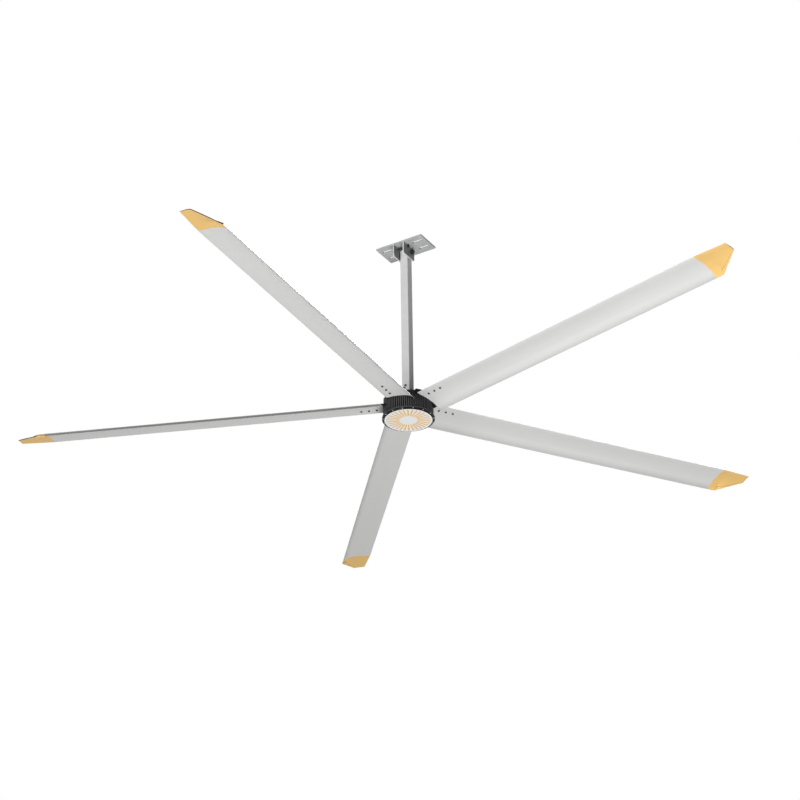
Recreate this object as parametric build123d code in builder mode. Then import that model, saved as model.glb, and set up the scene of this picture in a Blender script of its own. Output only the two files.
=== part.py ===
from build123d import *
from math import sin, cos, atan, degrees, hypot, radians
import os

os.makedirs("parts", exist_ok=True)

# High volume low speed ceiling fan, five blades, direct drive motor, millimetres.
# The origin is the middle of the ceiling plate's top face, +Z up, X along the plate.

# Shared allowances
cut_over = 5.0
fit_gap = 0.05
seat_gap = 0.3

# Ceiling plate
plate_length = 326.0
plate_width = 180.0
plate_thick = 8.0
plate_corner = 4.0
slot_spacing_x = 218.0
slot_spacing_y = 78.0
slot_length = 68.0
slot_width = 17.0

# Bracket ears and their bolts
ear_gap = 63.0
ear_thick = 8.0
ear_width = 125.0
ear_height = 84.0
ear_offset_y = 27.5
ear_corner = 8.0
weld_leg = 4.0
pivot_drop = 35.0
pivot_bolt_r = 8.0
pivot_head_across = 24.0
pivot_head_high = 10.0
pivot_nut_high = 13.0
pivot_thread_out = 5.0
washer_r = 15.0
washer_thick = 3.0
stop_bolt_r = 5.0
stop_head_across = 16.0
stop_head_high = 6.4
stop_nut_high = 8.0
stop_offset_y = 42.0
stop_drop = 12.0

# Square downrod
tube_side = 52.0
tube_wall = 4.0
tube_corner = 2.5
tube_inner_corner = 1.0
tube_top_above_pivot = 18.0
bush_r = 12.0

# Heights, measured down from the top face of the plate
blade_plane_drop = 1130.0
drum_top_rise = 54.0
drum_bottom_drop = 60.0
blade_plane_z = -blade_plane_drop
drum_top_z = blade_plane_z + drum_top_rise
drum_bottom_z = blade_plane_z - drum_bottom_drop

# Adapter between the downrod and the motor shaft
adapter_rise = 44.0
adapter_flange_r = 42.0
adapter_flange_thick = 12.0
adapter_collar_r = 38.0
adapter_collar_height = 26.0
grub_r = 4.0
grub_drop = 14.0
spigot_height = 92.0
spigot_corner = 3.0
cross_bolt_r = 4.0
cross_bolt_rise = 50.0
cross_bolt_pitch = 26.0
cross_head_across = 13.0
cross_head_high = 5.3
cross_nut_high = 6.8
cross_thread_out = 3.0
gland_r = 7.0
gland_length = 15.0
gland_rise = 33.0
gland_offset_x = 9.0
gland_hole_r = 3.0

# Motor shaft and bearings
shaft_r = 25.0
shaft_collar_r = 28.0
shaft_bore_r = 12.0
shaft_thread_r = 20.0
shaft_thread_length = 8.0
shaft_end_chamfer = 1.0
bearing_outer_r = 45.0
bearing_width = 20.0
ring_thick = 6.5
groove_r = 6.0
ball_r = 5.7
ball_count = 8
hub_top_rise = 28.0
hub_bottom_drop = 30.0
locknut_r = 34.0
locknut_thick = 7.0
locknut_notch = 6.0
locknut_clear = 2.0
seal_lift = 0.5

# Stator
stator_r = 119.5
stator_inner_r = 72.0
stator_stack = 50.0
tooth_count = 24
tooth_width = 12.0
tooth_tip_thick = 4.0
tooth_tip_gap = 5.0
yoke_width = 14.0
coil_thick = 4.4
coil_end = 8.0
coil_start_gap = 2.0
carrier_hub_r = 40.0
carrier_web = 12.0
carrier_rim = 8.0
carrier_hole_r = 9.0
carrier_hole_count = 6

# Rotor drum
drum_bore_r = 126.0
drum_wall_r = 139.0
fin_tip_r = 150.0
fin_count = 75
fin_gap = 7.4
flange_r = 157.0
flange_thick = 6.0
cover_seat_r = 136.5
cover_thick = 8.0
boss_wall = 9.0
boss_lip = 6.0
magnet_thick = 5.0
magnet_count = 28
magnet_gap = 2.0
magnet_length = 56.0
cover_screw_r = 2.5
cover_screw_circle_r = 131.5
cover_screw_head_r = 4.5
cover_screw_head = 3.0
cover_screw_length = 22.0
cover_screw_angles = (26.0, 39.0)

# Trim ring and front disc under the drum
trim_lip = 4.0
trim_depth = 10.0
trim_step_r = 147.0
trim_nose_r = 145.0
trim_bore_r = 137.0
disc_r = 142.8
disc_thick = 3.0
disc_rim = 3.0
disc_rim_height = 3.5
trim_screw_circle_r = 152.0
trim_screw_r = 2.0
trim_screw_head_r = 3.5
trim_screw_head = 2.4
trim_screw_length = 8.0
trim_screw_count = 15
ray_count = 30
ray_start_share = 0.38
ray_end_share = 0.93
ray_start_width = 8.0
ray_end_width = 9.0
ray_depth = 0.6

# Blades
blade_count = 5
blade_first_angle = -13.95
chord = 196.6
pitch = 16.36
lead_y = 72.1
lead_z = 27.7
blade_root_r = 148.0
blade_end_r = 2210.0
skin = 2.4
web = 2.5
bolt_r = 3.0
bolt_hole_r = 3.5
bolt_head_across = 10.0
bolt_head_high = 4.6
bolt_flange_r = 6.5
bolt_flange_thick = 1.2
bolt_first_r = 194.0
bolt_pitch = 47.0
bolt_count = 3
bolt_share = 0.252
bolt_tip_gap = 2.0
spot_depth = 0.25

# Blade arms
tongue_length = 190.0
arm_plate = 8.0
arm_foot_inner_r = 112.0
arm_foot_thick = 9.0
arm_foot_lead = 27.0
arm_foot_trail = 20.0
arm_main_share = 0.70
arm_lead_over = 12.0
arm_window_lead = 31.65
arm_window_trail = 21.15
arm_window_clear = 0.4
arm_rear_share = 0.86
arm_side_gap = 1.0
arm_slot_start = 68.0
arm_slot_end = 82.0
gusset_start = 52.0
gusset_end = 60.0
gusset_rise = 3.0
gusset_top_r = 132.0
gusset_tip_r = 174.0
gusset_tip_rise = 37.9
gusset_low_rise = 38.6
arm_bolt_r = 4.0
arm_bolt_hole_r = 4.5
arm_bolt_head_across = 13.0
arm_bolt_head_high = 5.3
arm_bolt_length = 34.0
arm_bolt_angles = (-19.0, -2.0, 15.0)

# Tip caps, with every reach measured outwards from the end of the blade
cap_over_reach = 214.0
cap_lead_reach = 198.0
cap_corner_reach = 201.0
cap_trail_reach = 55.0
cap_strip_reach = 52.0
cap_lead_y = 57.5
cap_corner_y = 12.0
cap_trail_y = 114.0
cap_corner_z = 14.5
cap_trail_z = -23.0
cap_end_thick_share = 0.21
cap_sections = 6
cap_stations = 9
cap_plug_length = 60.0
cap_plug_wall = 3.0
cap_core_reach = 20.0
cap_strip_start = 4.0
cap_strip_end = 17.0
cap_step_start = 0.3
cap_step_end = 1.5
cap_wall = 2.5
cap_wall_low = 3.0
cap_wall_high = 11.0
cap_wall_power = 8
cap_lip = 2.0
cap_screw_r = 2.0
cap_screw_head_r = 3.8
cap_screw_head = 1.8
cap_screw_length = 7.0
cap_screw_inset = 30.0
cap_screw_shares = (0.22, 0.36)

# Aerofoil, as shares of the chord: distance from the leading edge, height of the underside
# above the chord line, and thickness measured square to the chord line.
under_shares = [
    (0.000, 0.0000),
    (0.030, -0.0020),
    (0.080, 0.0040),
    (0.140, 0.0160),
    (0.200, 0.0330),
    (0.280, 0.0530),
    (0.360, 0.0680),
    (0.450, 0.0820),
    (0.530, 0.0890),
    (0.610, 0.0940),
    (0.690, 0.0965),
    (0.770, 0.0920),
    (0.835, 0.0800),
    (0.900, 0.0600),
    (0.955, 0.0330),
    (1.000, 0.0000),
]
thick_shares = [
    (0.000, 0.0000),
    (0.030, 0.0380),
    (0.080, 0.0660),
    (0.140, 0.0900),
    (0.200, 0.1050),
    (0.280, 0.1120),
    (0.360, 0.1080),
    (0.450, 0.0950),
    (0.530, 0.0800),
    (0.610, 0.0650),
    (0.690, 0.0510),
    (0.770, 0.0390),
    (0.835, 0.0310),
    (0.900, 0.0240),
    (0.955, 0.0180),
    (1.000, 0.0140),
]
web_shares = (0.125, 0.445)
nose_cell_share = 0.0305
tail_cell_share = 0.86
cap_over_share = -0.04


def share_at(table, where):
    """Read a table of shares at one place along the chord, in straight steps."""
    for (a, va), (b, vb) in zip(table[:-1], table[1:]):
        if a <= where <= b:
            return va + (vb - va) * (where - a) / (b - a)
    return table[-1][1]


def under_at(where):
    return share_at(under_shares, where)


def thick_at(where):
    return share_at(thick_shares, where)


def section_plane(radius):
    """Plane square to a blade along +X: x from leading to trailing edge, y up."""
    p = radians(pitch)
    lead = (radius, -lead_y, blade_plane_z + lead_z)
    return Plane(lead, x_dir=(0, cos(p), -sin(p)), z_dir=(1, 0, 0))


def level_plane(radius):
    """Upright plane square to a blade along +X: x towards the trailing edge, y up."""
    return Plane((radius, 0, blade_plane_z), x_dir=(0, 1, 0), z_dir=(1, 0, 0))


def level_point(where, height_share):
    """Section point on the level plane, from its place and height as chord shares."""
    p = radians(pitch)
    return (
        -lead_y + chord * (where * cos(p) + height_share * sin(p)),
        lead_z + chord * (height_share * cos(p) - where * sin(p)),
    )


def underside_band(start, end, drop, rise):
    """Closed outline that follows the underside, on the level plane."""
    steps = 12
    places = [start + (end - start) * i / steps for i in range(steps + 1)]
    line = [level_point(a, under_at(a)) for a in places]
    low = [(y, z - drop) for y, z in line]
    high = [(y, z + rise) for y, z in reversed(line)]
    return low + high


def underside_to(start, end, drop, top, ahead):
    """Closed outline from the underside up to one level, carried on past the nose."""
    steps = 12
    places = [start + (end - start) * i / steps for i in range(steps + 1)]
    low = [level_point(a, under_at(a)) for a in places]
    low = [(low[0][0] - ahead, low[0][1])] + low
    low = [(y, z - drop) for y, z in low]
    return low + [(low[-1][0], top), (low[0][0], top)]


def cell_lines(start, end, inset):
    """Lower and upper points between two places of the chord, inset from both skins."""
    steps = 8
    places = [start + (end - start) * i / steps for i in range(steps + 1)]
    lower = [(chord * a, chord * under_at(a) + inset) for a in places]
    upper = [(chord * a, chord * (under_at(a) + thick_at(a)) - inset) for a in places]
    return lower, upper


def skin_plane(radius, where, upper):
    """Plane lying on the lower or upper skin of a blade along +X, its z into the blade."""
    step = 1 / chord
    ahead, behind = where + step, where - step
    rise = thick_at(where) if upper else 0
    slope = (under_at(ahead) - under_at(behind)) / (2 * step)
    if upper:
        slope += (thick_at(ahead) - thick_at(behind)) / (2 * step)
    tilt = degrees(atan(slope)) - pitch
    y, z = level_point(where, under_at(where) + rise)
    normal = (0, -sin(radians(tilt)), cos(radians(tilt)))
    if upper:
        normal = (0, -normal[1], -normal[2])
    return Plane((radius, y, blade_plane_z + z), x_dir=(1, 0, 0), z_dir=normal)


def hex_bolts(seats, head_across, head_high, shank_r, shank_length):
    """Hex bolts with their heads behind the seats and their shanks in front of them."""
    with BuildPart() as bolts:
        for seat in seats:
            with BuildSketch(seat):
                RegularPolygon(head_across / 2, 6, major_radius=False)
            extrude(amount=-head_high)
            with BuildSketch(seat):
                Circle(shank_r)
            extrude(amount=shank_length)
    return bolts


def flange_bolts(seats, head_across, head_high, flange_r, flange_thick, shank_r, length):
    """Flanged hex bolts with their heads behind the seats."""
    with BuildPart() as bolts:
        for seat in seats:
            with BuildSketch(seat):
                Circle(flange_r)
            extrude(amount=-flange_thick)
            with BuildSketch(seat.offset(-flange_thick)):
                RegularPolygon(head_across / 2, 6, major_radius=False)
            extrude(amount=-head_high)
            with BuildSketch(seat):
                Circle(shank_r)
            extrude(amount=length)
    return bolts


def hex_nuts(seats, across, high, bore_r):
    """Hex nuts standing on the seats."""
    with BuildPart() as nuts:
        for seat in seats:
            with BuildSketch(seat):
                RegularPolygon(across / 2, 6, major_radius=False)
                Circle(bore_r, mode=Mode.SUBTRACT)
            extrude(amount=high)
    return nuts


def round_pieces(seats, outer_r, inner_r, high):
    """Round pieces standing on the seats, solid when the inner radius is 0."""
    with BuildPart() as pieces:
        for seat in seats:
            with BuildSketch(seat):
                Circle(outer_r)
                if inner_r > 0:
                    Circle(inner_r, mode=Mode.SUBTRACT)
            extrude(amount=high)
    return pieces


def round_screws(seats, head_r, head_high, shank_r, shank_length):
    """Round headed screws with their heads behind the seats."""
    with BuildPart() as screws:
        for seat in seats:
            with BuildSketch(seat):
                Circle(head_r)
            extrude(amount=-head_high)
            with BuildSketch(seat):
                Circle(shank_r)
            extrude(amount=shank_length)
    return screws


def keep(name, builder):
    """Name a finished piece and write it to its own file."""
    builder.part.label = name
    export_step(builder.part, "parts/" + name + ".step")


def ring_places(radius, angles):
    """Places round a circle at the given angles."""
    return [(radius * cos(radians(a)), radius * sin(radians(a))) for a in angles]


def level_seats(radius, angles, height, down):
    """Level seats round the fan's axis, their z down or up."""
    facing = (0, 0, -1) if down else (0, 0, 1)
    return [
        Plane((radius * cos(radians(a)), radius * sin(radians(a)), height), z_dir=facing)
        for a in angles
    ]


blade_angles = [blade_first_angle + 360 / blade_count * i for i in range(blade_count)]
cell_start = web_shares[0] + web / chord
cell_end = web_shares[1]
web_inset = seat_gap / chord

# Ceiling plate
with BuildPart() as ceiling_plate:
    with BuildSketch(Plane.XY.offset(-plate_thick)):
        RectangleRounded(plate_length, plate_width, plate_corner)
        with GridLocations(slot_spacing_x, slot_spacing_y, 2, 2):
            SlotOverall(slot_length, slot_width, mode=Mode.SUBTRACT)
    extrude(amount=plate_thick)
ceiling_plate.part.label = "ceiling_plate"
export_step(ceiling_plate.part, "parts/ceiling_plate.step")

# Two ears welded under the plate
pivot_z = -plate_thick - pivot_drop
stop_z = -plate_thick - stop_drop
ear_outer_x = ear_gap / 2 + ear_thick
for side, ear_name in ((-1, "ear_left"), (1, "ear_right")):
    with BuildPart() as ear:
        with BuildSketch(Plane.YZ.offset(side * (ear_gap + ear_thick) / 2)):
            with Locations((-ear_offset_y, -plate_thick - ear_height / 2)):
                Rectangle(ear_width, ear_height)
            with Locations((0, pivot_z)):
                Circle(pivot_bolt_r + fit_gap, mode=Mode.SUBTRACT)
            with Locations((-stop_offset_y, stop_z)):
                Circle(stop_bolt_r + fit_gap, mode=Mode.SUBTRACT)
            fillet(vertices().group_by(Axis.Y)[0], ear_corner)
        extrude(amount=ear_thick / 2, both=True)
    ear.part.label = ear_name
    export_step(ear.part, "parts/" + ear_name + ".step")

# Weld beads along both sides of both ears
with BuildPart() as ear_welds:
    for side in (-1, 1):
        for edge_x, out in ((ear_gap / 2, -1), (ear_outer_x, 1)):
            with BuildSketch(Plane.XZ.offset(ear_offset_y - ear_width / 2)):
                with BuildLine():
                    Polyline(
                        (side * edge_x, -plate_thick),
                        (side * (edge_x + out * weld_leg), -plate_thick),
                        (side * edge_x, -plate_thick - weld_leg),
                        close=True,
                    )
                make_face()
            extrude(amount=ear_width)
ear_welds.part.label = "ear_welds"
export_step(ear_welds.part, "parts/ear_welds.step")

# Pivot bolt with its nut and washers, and the stop bolt
grip_x = ear_outer_x + washer_thick
left_seat = Plane((-grip_x, 0, pivot_z), x_dir=(0, 1, 0), z_dir=(1, 0, 0))
right_seat = Plane((ear_outer_x, 0, pivot_z), x_dir=(0, 1, 0), z_dir=(1, 0, 0))
nut_seat = right_seat.offset(washer_thick)
pivot_length = 2 * grip_x + pivot_nut_high + pivot_thread_out
pivot_bolt = hex_bolts([left_seat], pivot_head_across, pivot_head_high, pivot_bolt_r, pivot_length)
keep("pivot_bolt", pivot_bolt)
pivot_nut = hex_nuts([nut_seat], pivot_head_across, pivot_nut_high, pivot_bolt_r + fit_gap)
keep("pivot_nut", pivot_nut)
pivot_washers = round_pieces([left_seat, right_seat], washer_r, pivot_bolt_r + fit_gap, washer_thick)
keep("pivot_washers", pivot_washers)

stop_seat = Plane((-ear_outer_x, -stop_offset_y, stop_z), x_dir=(0, 1, 0), z_dir=(1, 0, 0))
stop_length = 2 * ear_outer_x + stop_nut_high + cross_thread_out
stop_bolt = hex_bolts([stop_seat], stop_head_across, stop_head_high, stop_bolt_r, stop_length)
keep("stop_bolt", stop_bolt)
stop_nut = hex_nuts(
    [stop_seat.offset(2 * ear_outer_x)], stop_head_across, stop_nut_high, stop_bolt_r + fit_gap
)
keep("stop_nut", stop_nut)

# Square downrod
tube_top_z = pivot_z + tube_top_above_pivot
tube_bottom_z = drum_top_z + adapter_rise
tube_inner = tube_side - 2 * tube_wall
cross_y_z = tube_bottom_z + cross_bolt_rise
cross_x_z = cross_y_z - cross_bolt_pitch
gland_z = tube_bottom_z + gland_rise
with BuildPart() as downrod_tube:
    with BuildSketch(Plane.XY.offset(tube_bottom_z)):
        RectangleRounded(tube_side, tube_side, tube_corner)
        RectangleRounded(tube_inner, tube_inner, tube_inner_corner, mode=Mode.SUBTRACT)
    extrude(amount=tube_top_z - tube_bottom_z)
    with BuildSketch(Plane.YZ):
        with Locations((0, pivot_z)):
            Circle(bush_r + fit_gap)
        with Locations((0, cross_x_z)):
            Circle(cross_bolt_r + fit_gap)
    extrude(amount=tube_side, both=True, mode=Mode.SUBTRACT)
    with BuildSketch(Plane.XZ):
        with Locations((0, cross_y_z)):
            Circle(cross_bolt_r + fit_gap)
    extrude(amount=tube_side, both=True, mode=Mode.SUBTRACT)
    with BuildSketch(Plane.XZ):
        with Locations((-gland_offset_x, gland_z)):
            Circle(gland_hole_r)
    extrude(amount=tube_side, mode=Mode.SUBTRACT)
downrod_tube.part.label = "downrod_tube"
export_step(downrod_tube.part, "parts/downrod_tube.step")

with BuildPart() as pivot_bush:
    with BuildSketch(Plane.YZ):
        with Locations((0, pivot_z)):
            Circle(bush_r)
            Circle(pivot_bolt_r + fit_gap, mode=Mode.SUBTRACT)
    extrude(amount=ear_gap / 2 - seat_gap, both=True)
pivot_bush.part.label = "pivot_bush"
export_step(pivot_bush.part, "parts/pivot_bush.step")

# Adapter that joins the tube to the motor shaft
flange_bottom_z = tube_bottom_z - adapter_flange_thick
collar_bottom_z = flange_bottom_z - adapter_collar_height
spigot_side = tube_inner - 2 * fit_gap
with BuildPart() as shaft_adapter:
    with BuildSketch(Plane.XY.offset(collar_bottom_z)):
        Circle(adapter_collar_r)
    extrude(amount=adapter_collar_height)
    with BuildSketch(Plane.XY.offset(flange_bottom_z)):
        Circle(adapter_flange_r)
    extrude(amount=adapter_flange_thick)
    with BuildSketch(Plane.XY.offset(tube_bottom_z)):
        RectangleRounded(spigot_side, spigot_side, spigot_corner)
    extrude(amount=spigot_height)
    chamfer(edges().group_by(Axis.Z)[-1], spigot_corner / 2)
    with BuildSketch(Plane.XY.offset(collar_bottom_z)):
        Circle(shaft_collar_r + fit_gap)
    extrude(amount=tube_bottom_z - collar_bottom_z, mode=Mode.SUBTRACT)
    with BuildSketch(Plane.XY.offset(tube_bottom_z - cut_over)):
        Circle(shaft_bore_r)
    extrude(amount=spigot_height + 2 * cut_over, mode=Mode.SUBTRACT)
    with BuildSketch(Plane.YZ):
        with Locations((0, cross_x_z)):
            Circle(cross_bolt_r + fit_gap)
    extrude(amount=tube_side, both=True, mode=Mode.SUBTRACT)
    with BuildSketch(Plane.XZ):
        with Locations((0, cross_y_z)):
            Circle(cross_bolt_r + fit_gap)
    extrude(amount=tube_side, both=True, mode=Mode.SUBTRACT)
    with BuildSketch(Plane.XZ):
        with Locations((-gland_offset_x, gland_z)):
            Circle(gland_hole_r)
    extrude(amount=tube_side, mode=Mode.SUBTRACT)
    with BuildSketch(Plane.XZ):
        with Locations((0, flange_bottom_z - grub_drop)):
            Circle(grub_r + fit_gap)
    extrude(amount=adapter_flange_r, both=True, mode=Mode.SUBTRACT)
shaft_adapter.part.label = "shaft_adapter"
export_step(shaft_adapter.part, "parts/shaft_adapter.step")

with BuildPart() as adapter_grub_screws:
    for side in (-1, 1):
        grub_start = side * (shaft_collar_r + fit_gap)
        with BuildSketch(Plane((0, grub_start, flange_bottom_z - grub_drop), z_dir=(0, side, 0))):
            Circle(grub_r)
        extrude(amount=adapter_collar_r - shaft_collar_r)
adapter_grub_screws.part.label = "adapter_grub_screws"
export_step(adapter_grub_screws.part, "parts/adapter_grub_screws.step")

# Two bolts crossing the tube and the adapter, with their nuts
half_side = tube_side / 2
cross_planes = (
    Plane((0, -half_side, cross_y_z), x_dir=(1, 0, 0), z_dir=(0, 1, 0)),
    Plane((-half_side, 0, cross_x_z), x_dir=(0, 1, 0), z_dir=(1, 0, 0)),
)
cross_length = tube_side + cross_nut_high + cross_thread_out
cross_bolts = hex_bolts(cross_planes, cross_head_across, cross_head_high, cross_bolt_r, cross_length)
keep("cross_bolts", cross_bolts)
cross_nuts = hex_nuts(
    [seat.offset(tube_side) for seat in cross_planes],
    cross_head_across,
    cross_nut_high,
    cross_bolt_r + fit_gap,
)
keep("cross_nuts", cross_nuts)

# Cable gland on the tube's front face
gland_plane = Plane((-gland_offset_x, -half_side, gland_z), x_dir=(1, 0, 0), z_dir=(0, -1, 0))
with BuildPart() as cable_gland:
    with BuildSketch(gland_plane):
        RegularPolygon(gland_r, 6, major_radius=False)
    extrude(amount=gland_length / 3)
    with BuildSketch(gland_plane.offset(gland_length / 3)):
        Circle(gland_r - gland_hole_r / 2)
    extrude(amount=gland_length * 2 / 3)
    chamfer(faces().sort_by(Axis.Y)[0].edges(), gland_hole_r / 2)
    with BuildSketch(gland_plane):
        Circle(gland_hole_r)
    extrude(amount=gland_length, mode=Mode.SUBTRACT)
cable_gland.part.label = "cable_gland"
export_step(cable_gland.part, "parts/cable_gland.step")

# Heights inside the motor
bearing_top_z = blade_plane_z + hub_top_rise
bearing_low_z = blade_plane_z - hub_bottom_drop
shoulder_z = bearing_top_z + bearing_width
ring_floor_z = bearing_low_z - bearing_width
flange_low_z = drum_bottom_z - flange_thick
motor_mid_z = (bearing_top_z + bearing_low_z) / 2
stack_low_z = motor_mid_z - stator_stack / 2

# Hollow motor shaft, fixed to the downrod
shaft_cut = tube_bottom_z - ring_floor_z + shaft_thread_length + 2 * cut_over
with BuildPart() as motor_shaft:
    with BuildSketch(Plane.XY.offset(shoulder_z)):
        Circle(shaft_collar_r)
    extrude(amount=tube_bottom_z - shoulder_z)
    with BuildSketch(Plane.XY.offset(ring_floor_z)):
        Circle(shaft_r)
    extrude(amount=shoulder_z - ring_floor_z)
    with BuildSketch(Plane.XY.offset(ring_floor_z)):
        Circle(shaft_thread_r)
    extrude(amount=-shaft_thread_length)
    chamfer(edges().group_by(Axis.Z)[0], shaft_end_chamfer)
    with BuildSketch(Plane.XY.offset(tube_bottom_z + cut_over)):
        Circle(shaft_bore_r)
    extrude(amount=-shaft_cut, mode=Mode.SUBTRACT)
motor_shaft.part.label = "motor_shaft"
export_step(motor_shaft.part, "parts/motor_shaft.step")

with BuildPart() as shaft_locknut:
    with BuildSketch(Plane.XY.offset(ring_floor_z - locknut_thick)):
        Circle(locknut_r)
        Circle(shaft_thread_r + fit_gap, mode=Mode.SUBTRACT)
        with PolarLocations(locknut_r, 4):
            Rectangle(locknut_notch, locknut_notch, mode=Mode.SUBTRACT)
    extrude(amount=locknut_thick)
shaft_locknut.part.label = "shaft_locknut"
export_step(shaft_locknut.part, "parts/shaft_locknut.step")

# Ball bearings
ball_track_r = (shaft_r + bearing_outer_r) / 2
for end, low_z in (("upper", bearing_top_z), ("lower", ring_floor_z)):
    mid_z = low_z + bearing_width / 2
    for ring, inner, outer in (
        ("inner", shaft_r + fit_gap, shaft_r + ring_thick),
        ("outer", bearing_outer_r - ring_thick, bearing_outer_r),
    ):
        with BuildPart() as bearing_ring:
            with BuildSketch(Plane.XZ) as ring_profile:
                with Locations(((inner + outer) / 2, mid_z)):
                    Rectangle(outer - inner, bearing_width)
                with Locations((ball_track_r, mid_z)):
                    Circle(groove_r, mode=Mode.SUBTRACT)
            revolve(axis=Axis.Z)
        ring_name = "bearing_" + end + "_" + ring
        bearing_ring.part.label = ring_name
        export_step(bearing_ring.part, "parts/" + ring_name + ".step")
    with BuildPart() as bearing_balls:
        for angle in range(ball_count):
            turn = radians(angle * 360 / ball_count)
            with Locations((ball_track_r * cos(turn), ball_track_r * sin(turn), mid_z)):
                Sphere(ball_r)
    balls_name = "bearing_" + end + "_balls"
    bearing_balls.part.label = balls_name
    export_step(bearing_balls.part, "parts/" + balls_name + ".step")

# Stator: carrier, laminated core and coils
with BuildPart() as stator_carrier:
    with BuildSketch(Plane.XY.offset(bearing_low_z)):
        Circle(carrier_hub_r)
    extrude(amount=bearing_top_z - bearing_low_z)
    with BuildSketch(Plane.XY.offset(motor_mid_z - carrier_web / 2)):
        Circle(stator_inner_r - fit_gap)
        with PolarLocations((carrier_hub_r + stator_inner_r - carrier_rim) / 2, carrier_hole_count):
            Circle(carrier_hole_r, mode=Mode.SUBTRACT)
    extrude(amount=carrier_web)
    with BuildSketch(Plane.XY.offset(stack_low_z)):
        Circle(stator_inner_r - fit_gap)
        Circle(stator_inner_r - carrier_rim, mode=Mode.SUBTRACT)
    extrude(amount=stator_stack)
    with BuildSketch(Plane.XY.offset(bearing_low_z)):
        Circle(shaft_r + fit_gap)
    extrude(amount=bearing_top_z - bearing_low_z, mode=Mode.SUBTRACT)
stator_carrier.part.label = "stator_carrier"
export_step(stator_carrier.part, "parts/stator_carrier.step")

yoke_outer_r = stator_inner_r + yoke_width
tooth_length = stator_r - yoke_outer_r
with BuildPart() as stator_core:
    with BuildSketch(Plane.XY.offset(stack_low_z)):
        Circle(stator_r)
        Circle(stator_r - tooth_tip_thick, mode=Mode.SUBTRACT)
        with PolarLocations(stator_r, tooth_count, start_angle=180 / tooth_count):
            Rectangle(tooth_length, tooth_tip_gap, mode=Mode.SUBTRACT)
        with PolarLocations(yoke_outer_r + tooth_length / 2 - tooth_tip_thick / 2, tooth_count):
            Rectangle(tooth_length, tooth_width)
        Circle(yoke_outer_r)
        Circle(stator_inner_r, mode=Mode.SUBTRACT)
    extrude(amount=stator_stack)
stator_core.part.label = "stator_core"
export_step(stator_core.part, "parts/stator_core.step")

coil_start_r = yoke_outer_r + coil_start_gap
coil_length = stator_r - tooth_tip_thick - coil_start_gap - coil_start_r
with BuildPart() as one_coil:
    with BuildSketch(Plane((coil_start_r, 0, motor_mid_z), x_dir=(0, 1, 0), z_dir=(1, 0, 0))):
        RectangleRounded(tooth_width + 2 * coil_thick, stator_stack + 2 * coil_end, coil_thick)
        Rectangle(
            tooth_width + 2 * seat_gap,
            stator_stack + 2 * seat_gap,
            mode=Mode.SUBTRACT,
        )
    extrude(amount=coil_length)
with BuildPart() as stator_coils:
    with PolarLocations(0, tooth_count):
        add(one_coil.part)
stator_coils.part.label = "stator_coils"
export_step(stator_coils.part, "parts/stator_coils.step")

# Blade section and its hollow cells, drawn once and used by every blade
with BuildSketch() as blade_outline:
    under_line = [(chord * a, chord * h) for a, h in under_shares]
    over_line = [(chord * a, chord * (h + thick_at(a))) for a, h in under_shares]
    with BuildLine():
        Spline(*under_line)
        Spline(*over_line)
        Line(under_line[-1], over_line[-1])
    make_face()

with BuildSketch() as blade_cells:
    for start, end in (
        (nose_cell_share, web_shares[0]),
        (cell_start, cell_end),
        (web_shares[1] + web / chord, tail_cell_share),
    ):
        lower, upper = cell_lines(start, end, skin)
        with BuildLine():
            Spline(*lower)
            Line(lower[-1], upper[-1])
            Spline(*upper)
            Line(upper[0], lower[0])
        make_face()

with BuildSketch() as tongue_outline:
    lower, upper = cell_lines(cell_start + web_inset, cell_end - web_inset, skin + seat_gap)
    with BuildLine():
        Spline(*lower)
        Line(lower[-1], upper[-1])
        Spline(*upper)
        Line(upper[0], lower[0])
    make_face()

core_inset = skin + seat_gap + cap_plug_wall
core_side = (seat_gap + cap_plug_wall) / chord
with BuildSketch() as plug_core:
    lower, upper = cell_lines(cell_start + core_side, cell_end - core_side, core_inset)
    with BuildLine():
        Spline(*lower)
        Line(lower[-1], upper[-1])
        Spline(*upper)
        Line(upper[0], lower[0])
    make_face()

# Window in the fins for one arm, for a blade along +X
arm_bore_r = drum_wall_r + seat_gap
arm_root_r = blade_root_r - seat_gap
window_top = drum_top_rise + cut_over
with BuildPart() as arm_window:
    with BuildSketch(level_plane(0)):
        Polygon(
            *underside_to(0, arm_main_share, 2 * arm_side_gap, window_top, arm_lead_over),
            align=None,
        )
    extrude(amount=flange_r)
    with BuildSketch(Plane.XY.offset(drum_bottom_z)):
        with BuildLine():
            edge_a = ring_places(drum_wall_r, (-arm_window_lead, 0, arm_window_trail))
            edge_b = ring_places(flange_r, (arm_window_trail, 0, -arm_window_lead))
            ThreePointArc(*edge_a)
            Line(edge_a[-1], edge_b[0])
            ThreePointArc(*edge_b)
            Line(edge_b[-1], edge_a[0])
        make_face()
    extrude(amount=drum_top_z - drum_bottom_z + 2 * cut_over, mode=Mode.INTERSECT)

# Slot in the fins for the rear finger of one arm
with BuildPart() as finger_slot:
    with BuildSketch(level_plane(0)):
        Polygon(
            *underside_band(0, arm_rear_share, 2 * arm_side_gap, arm_plate + arm_side_gap),
            align=None,
        )
    extrude(amount=flange_r)
    with BuildSketch(Plane.XY.offset(drum_bottom_z)):
        Circle(drum_wall_r)
    extrude(amount=drum_top_z - drum_bottom_z, mode=Mode.SUBTRACT)

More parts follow.
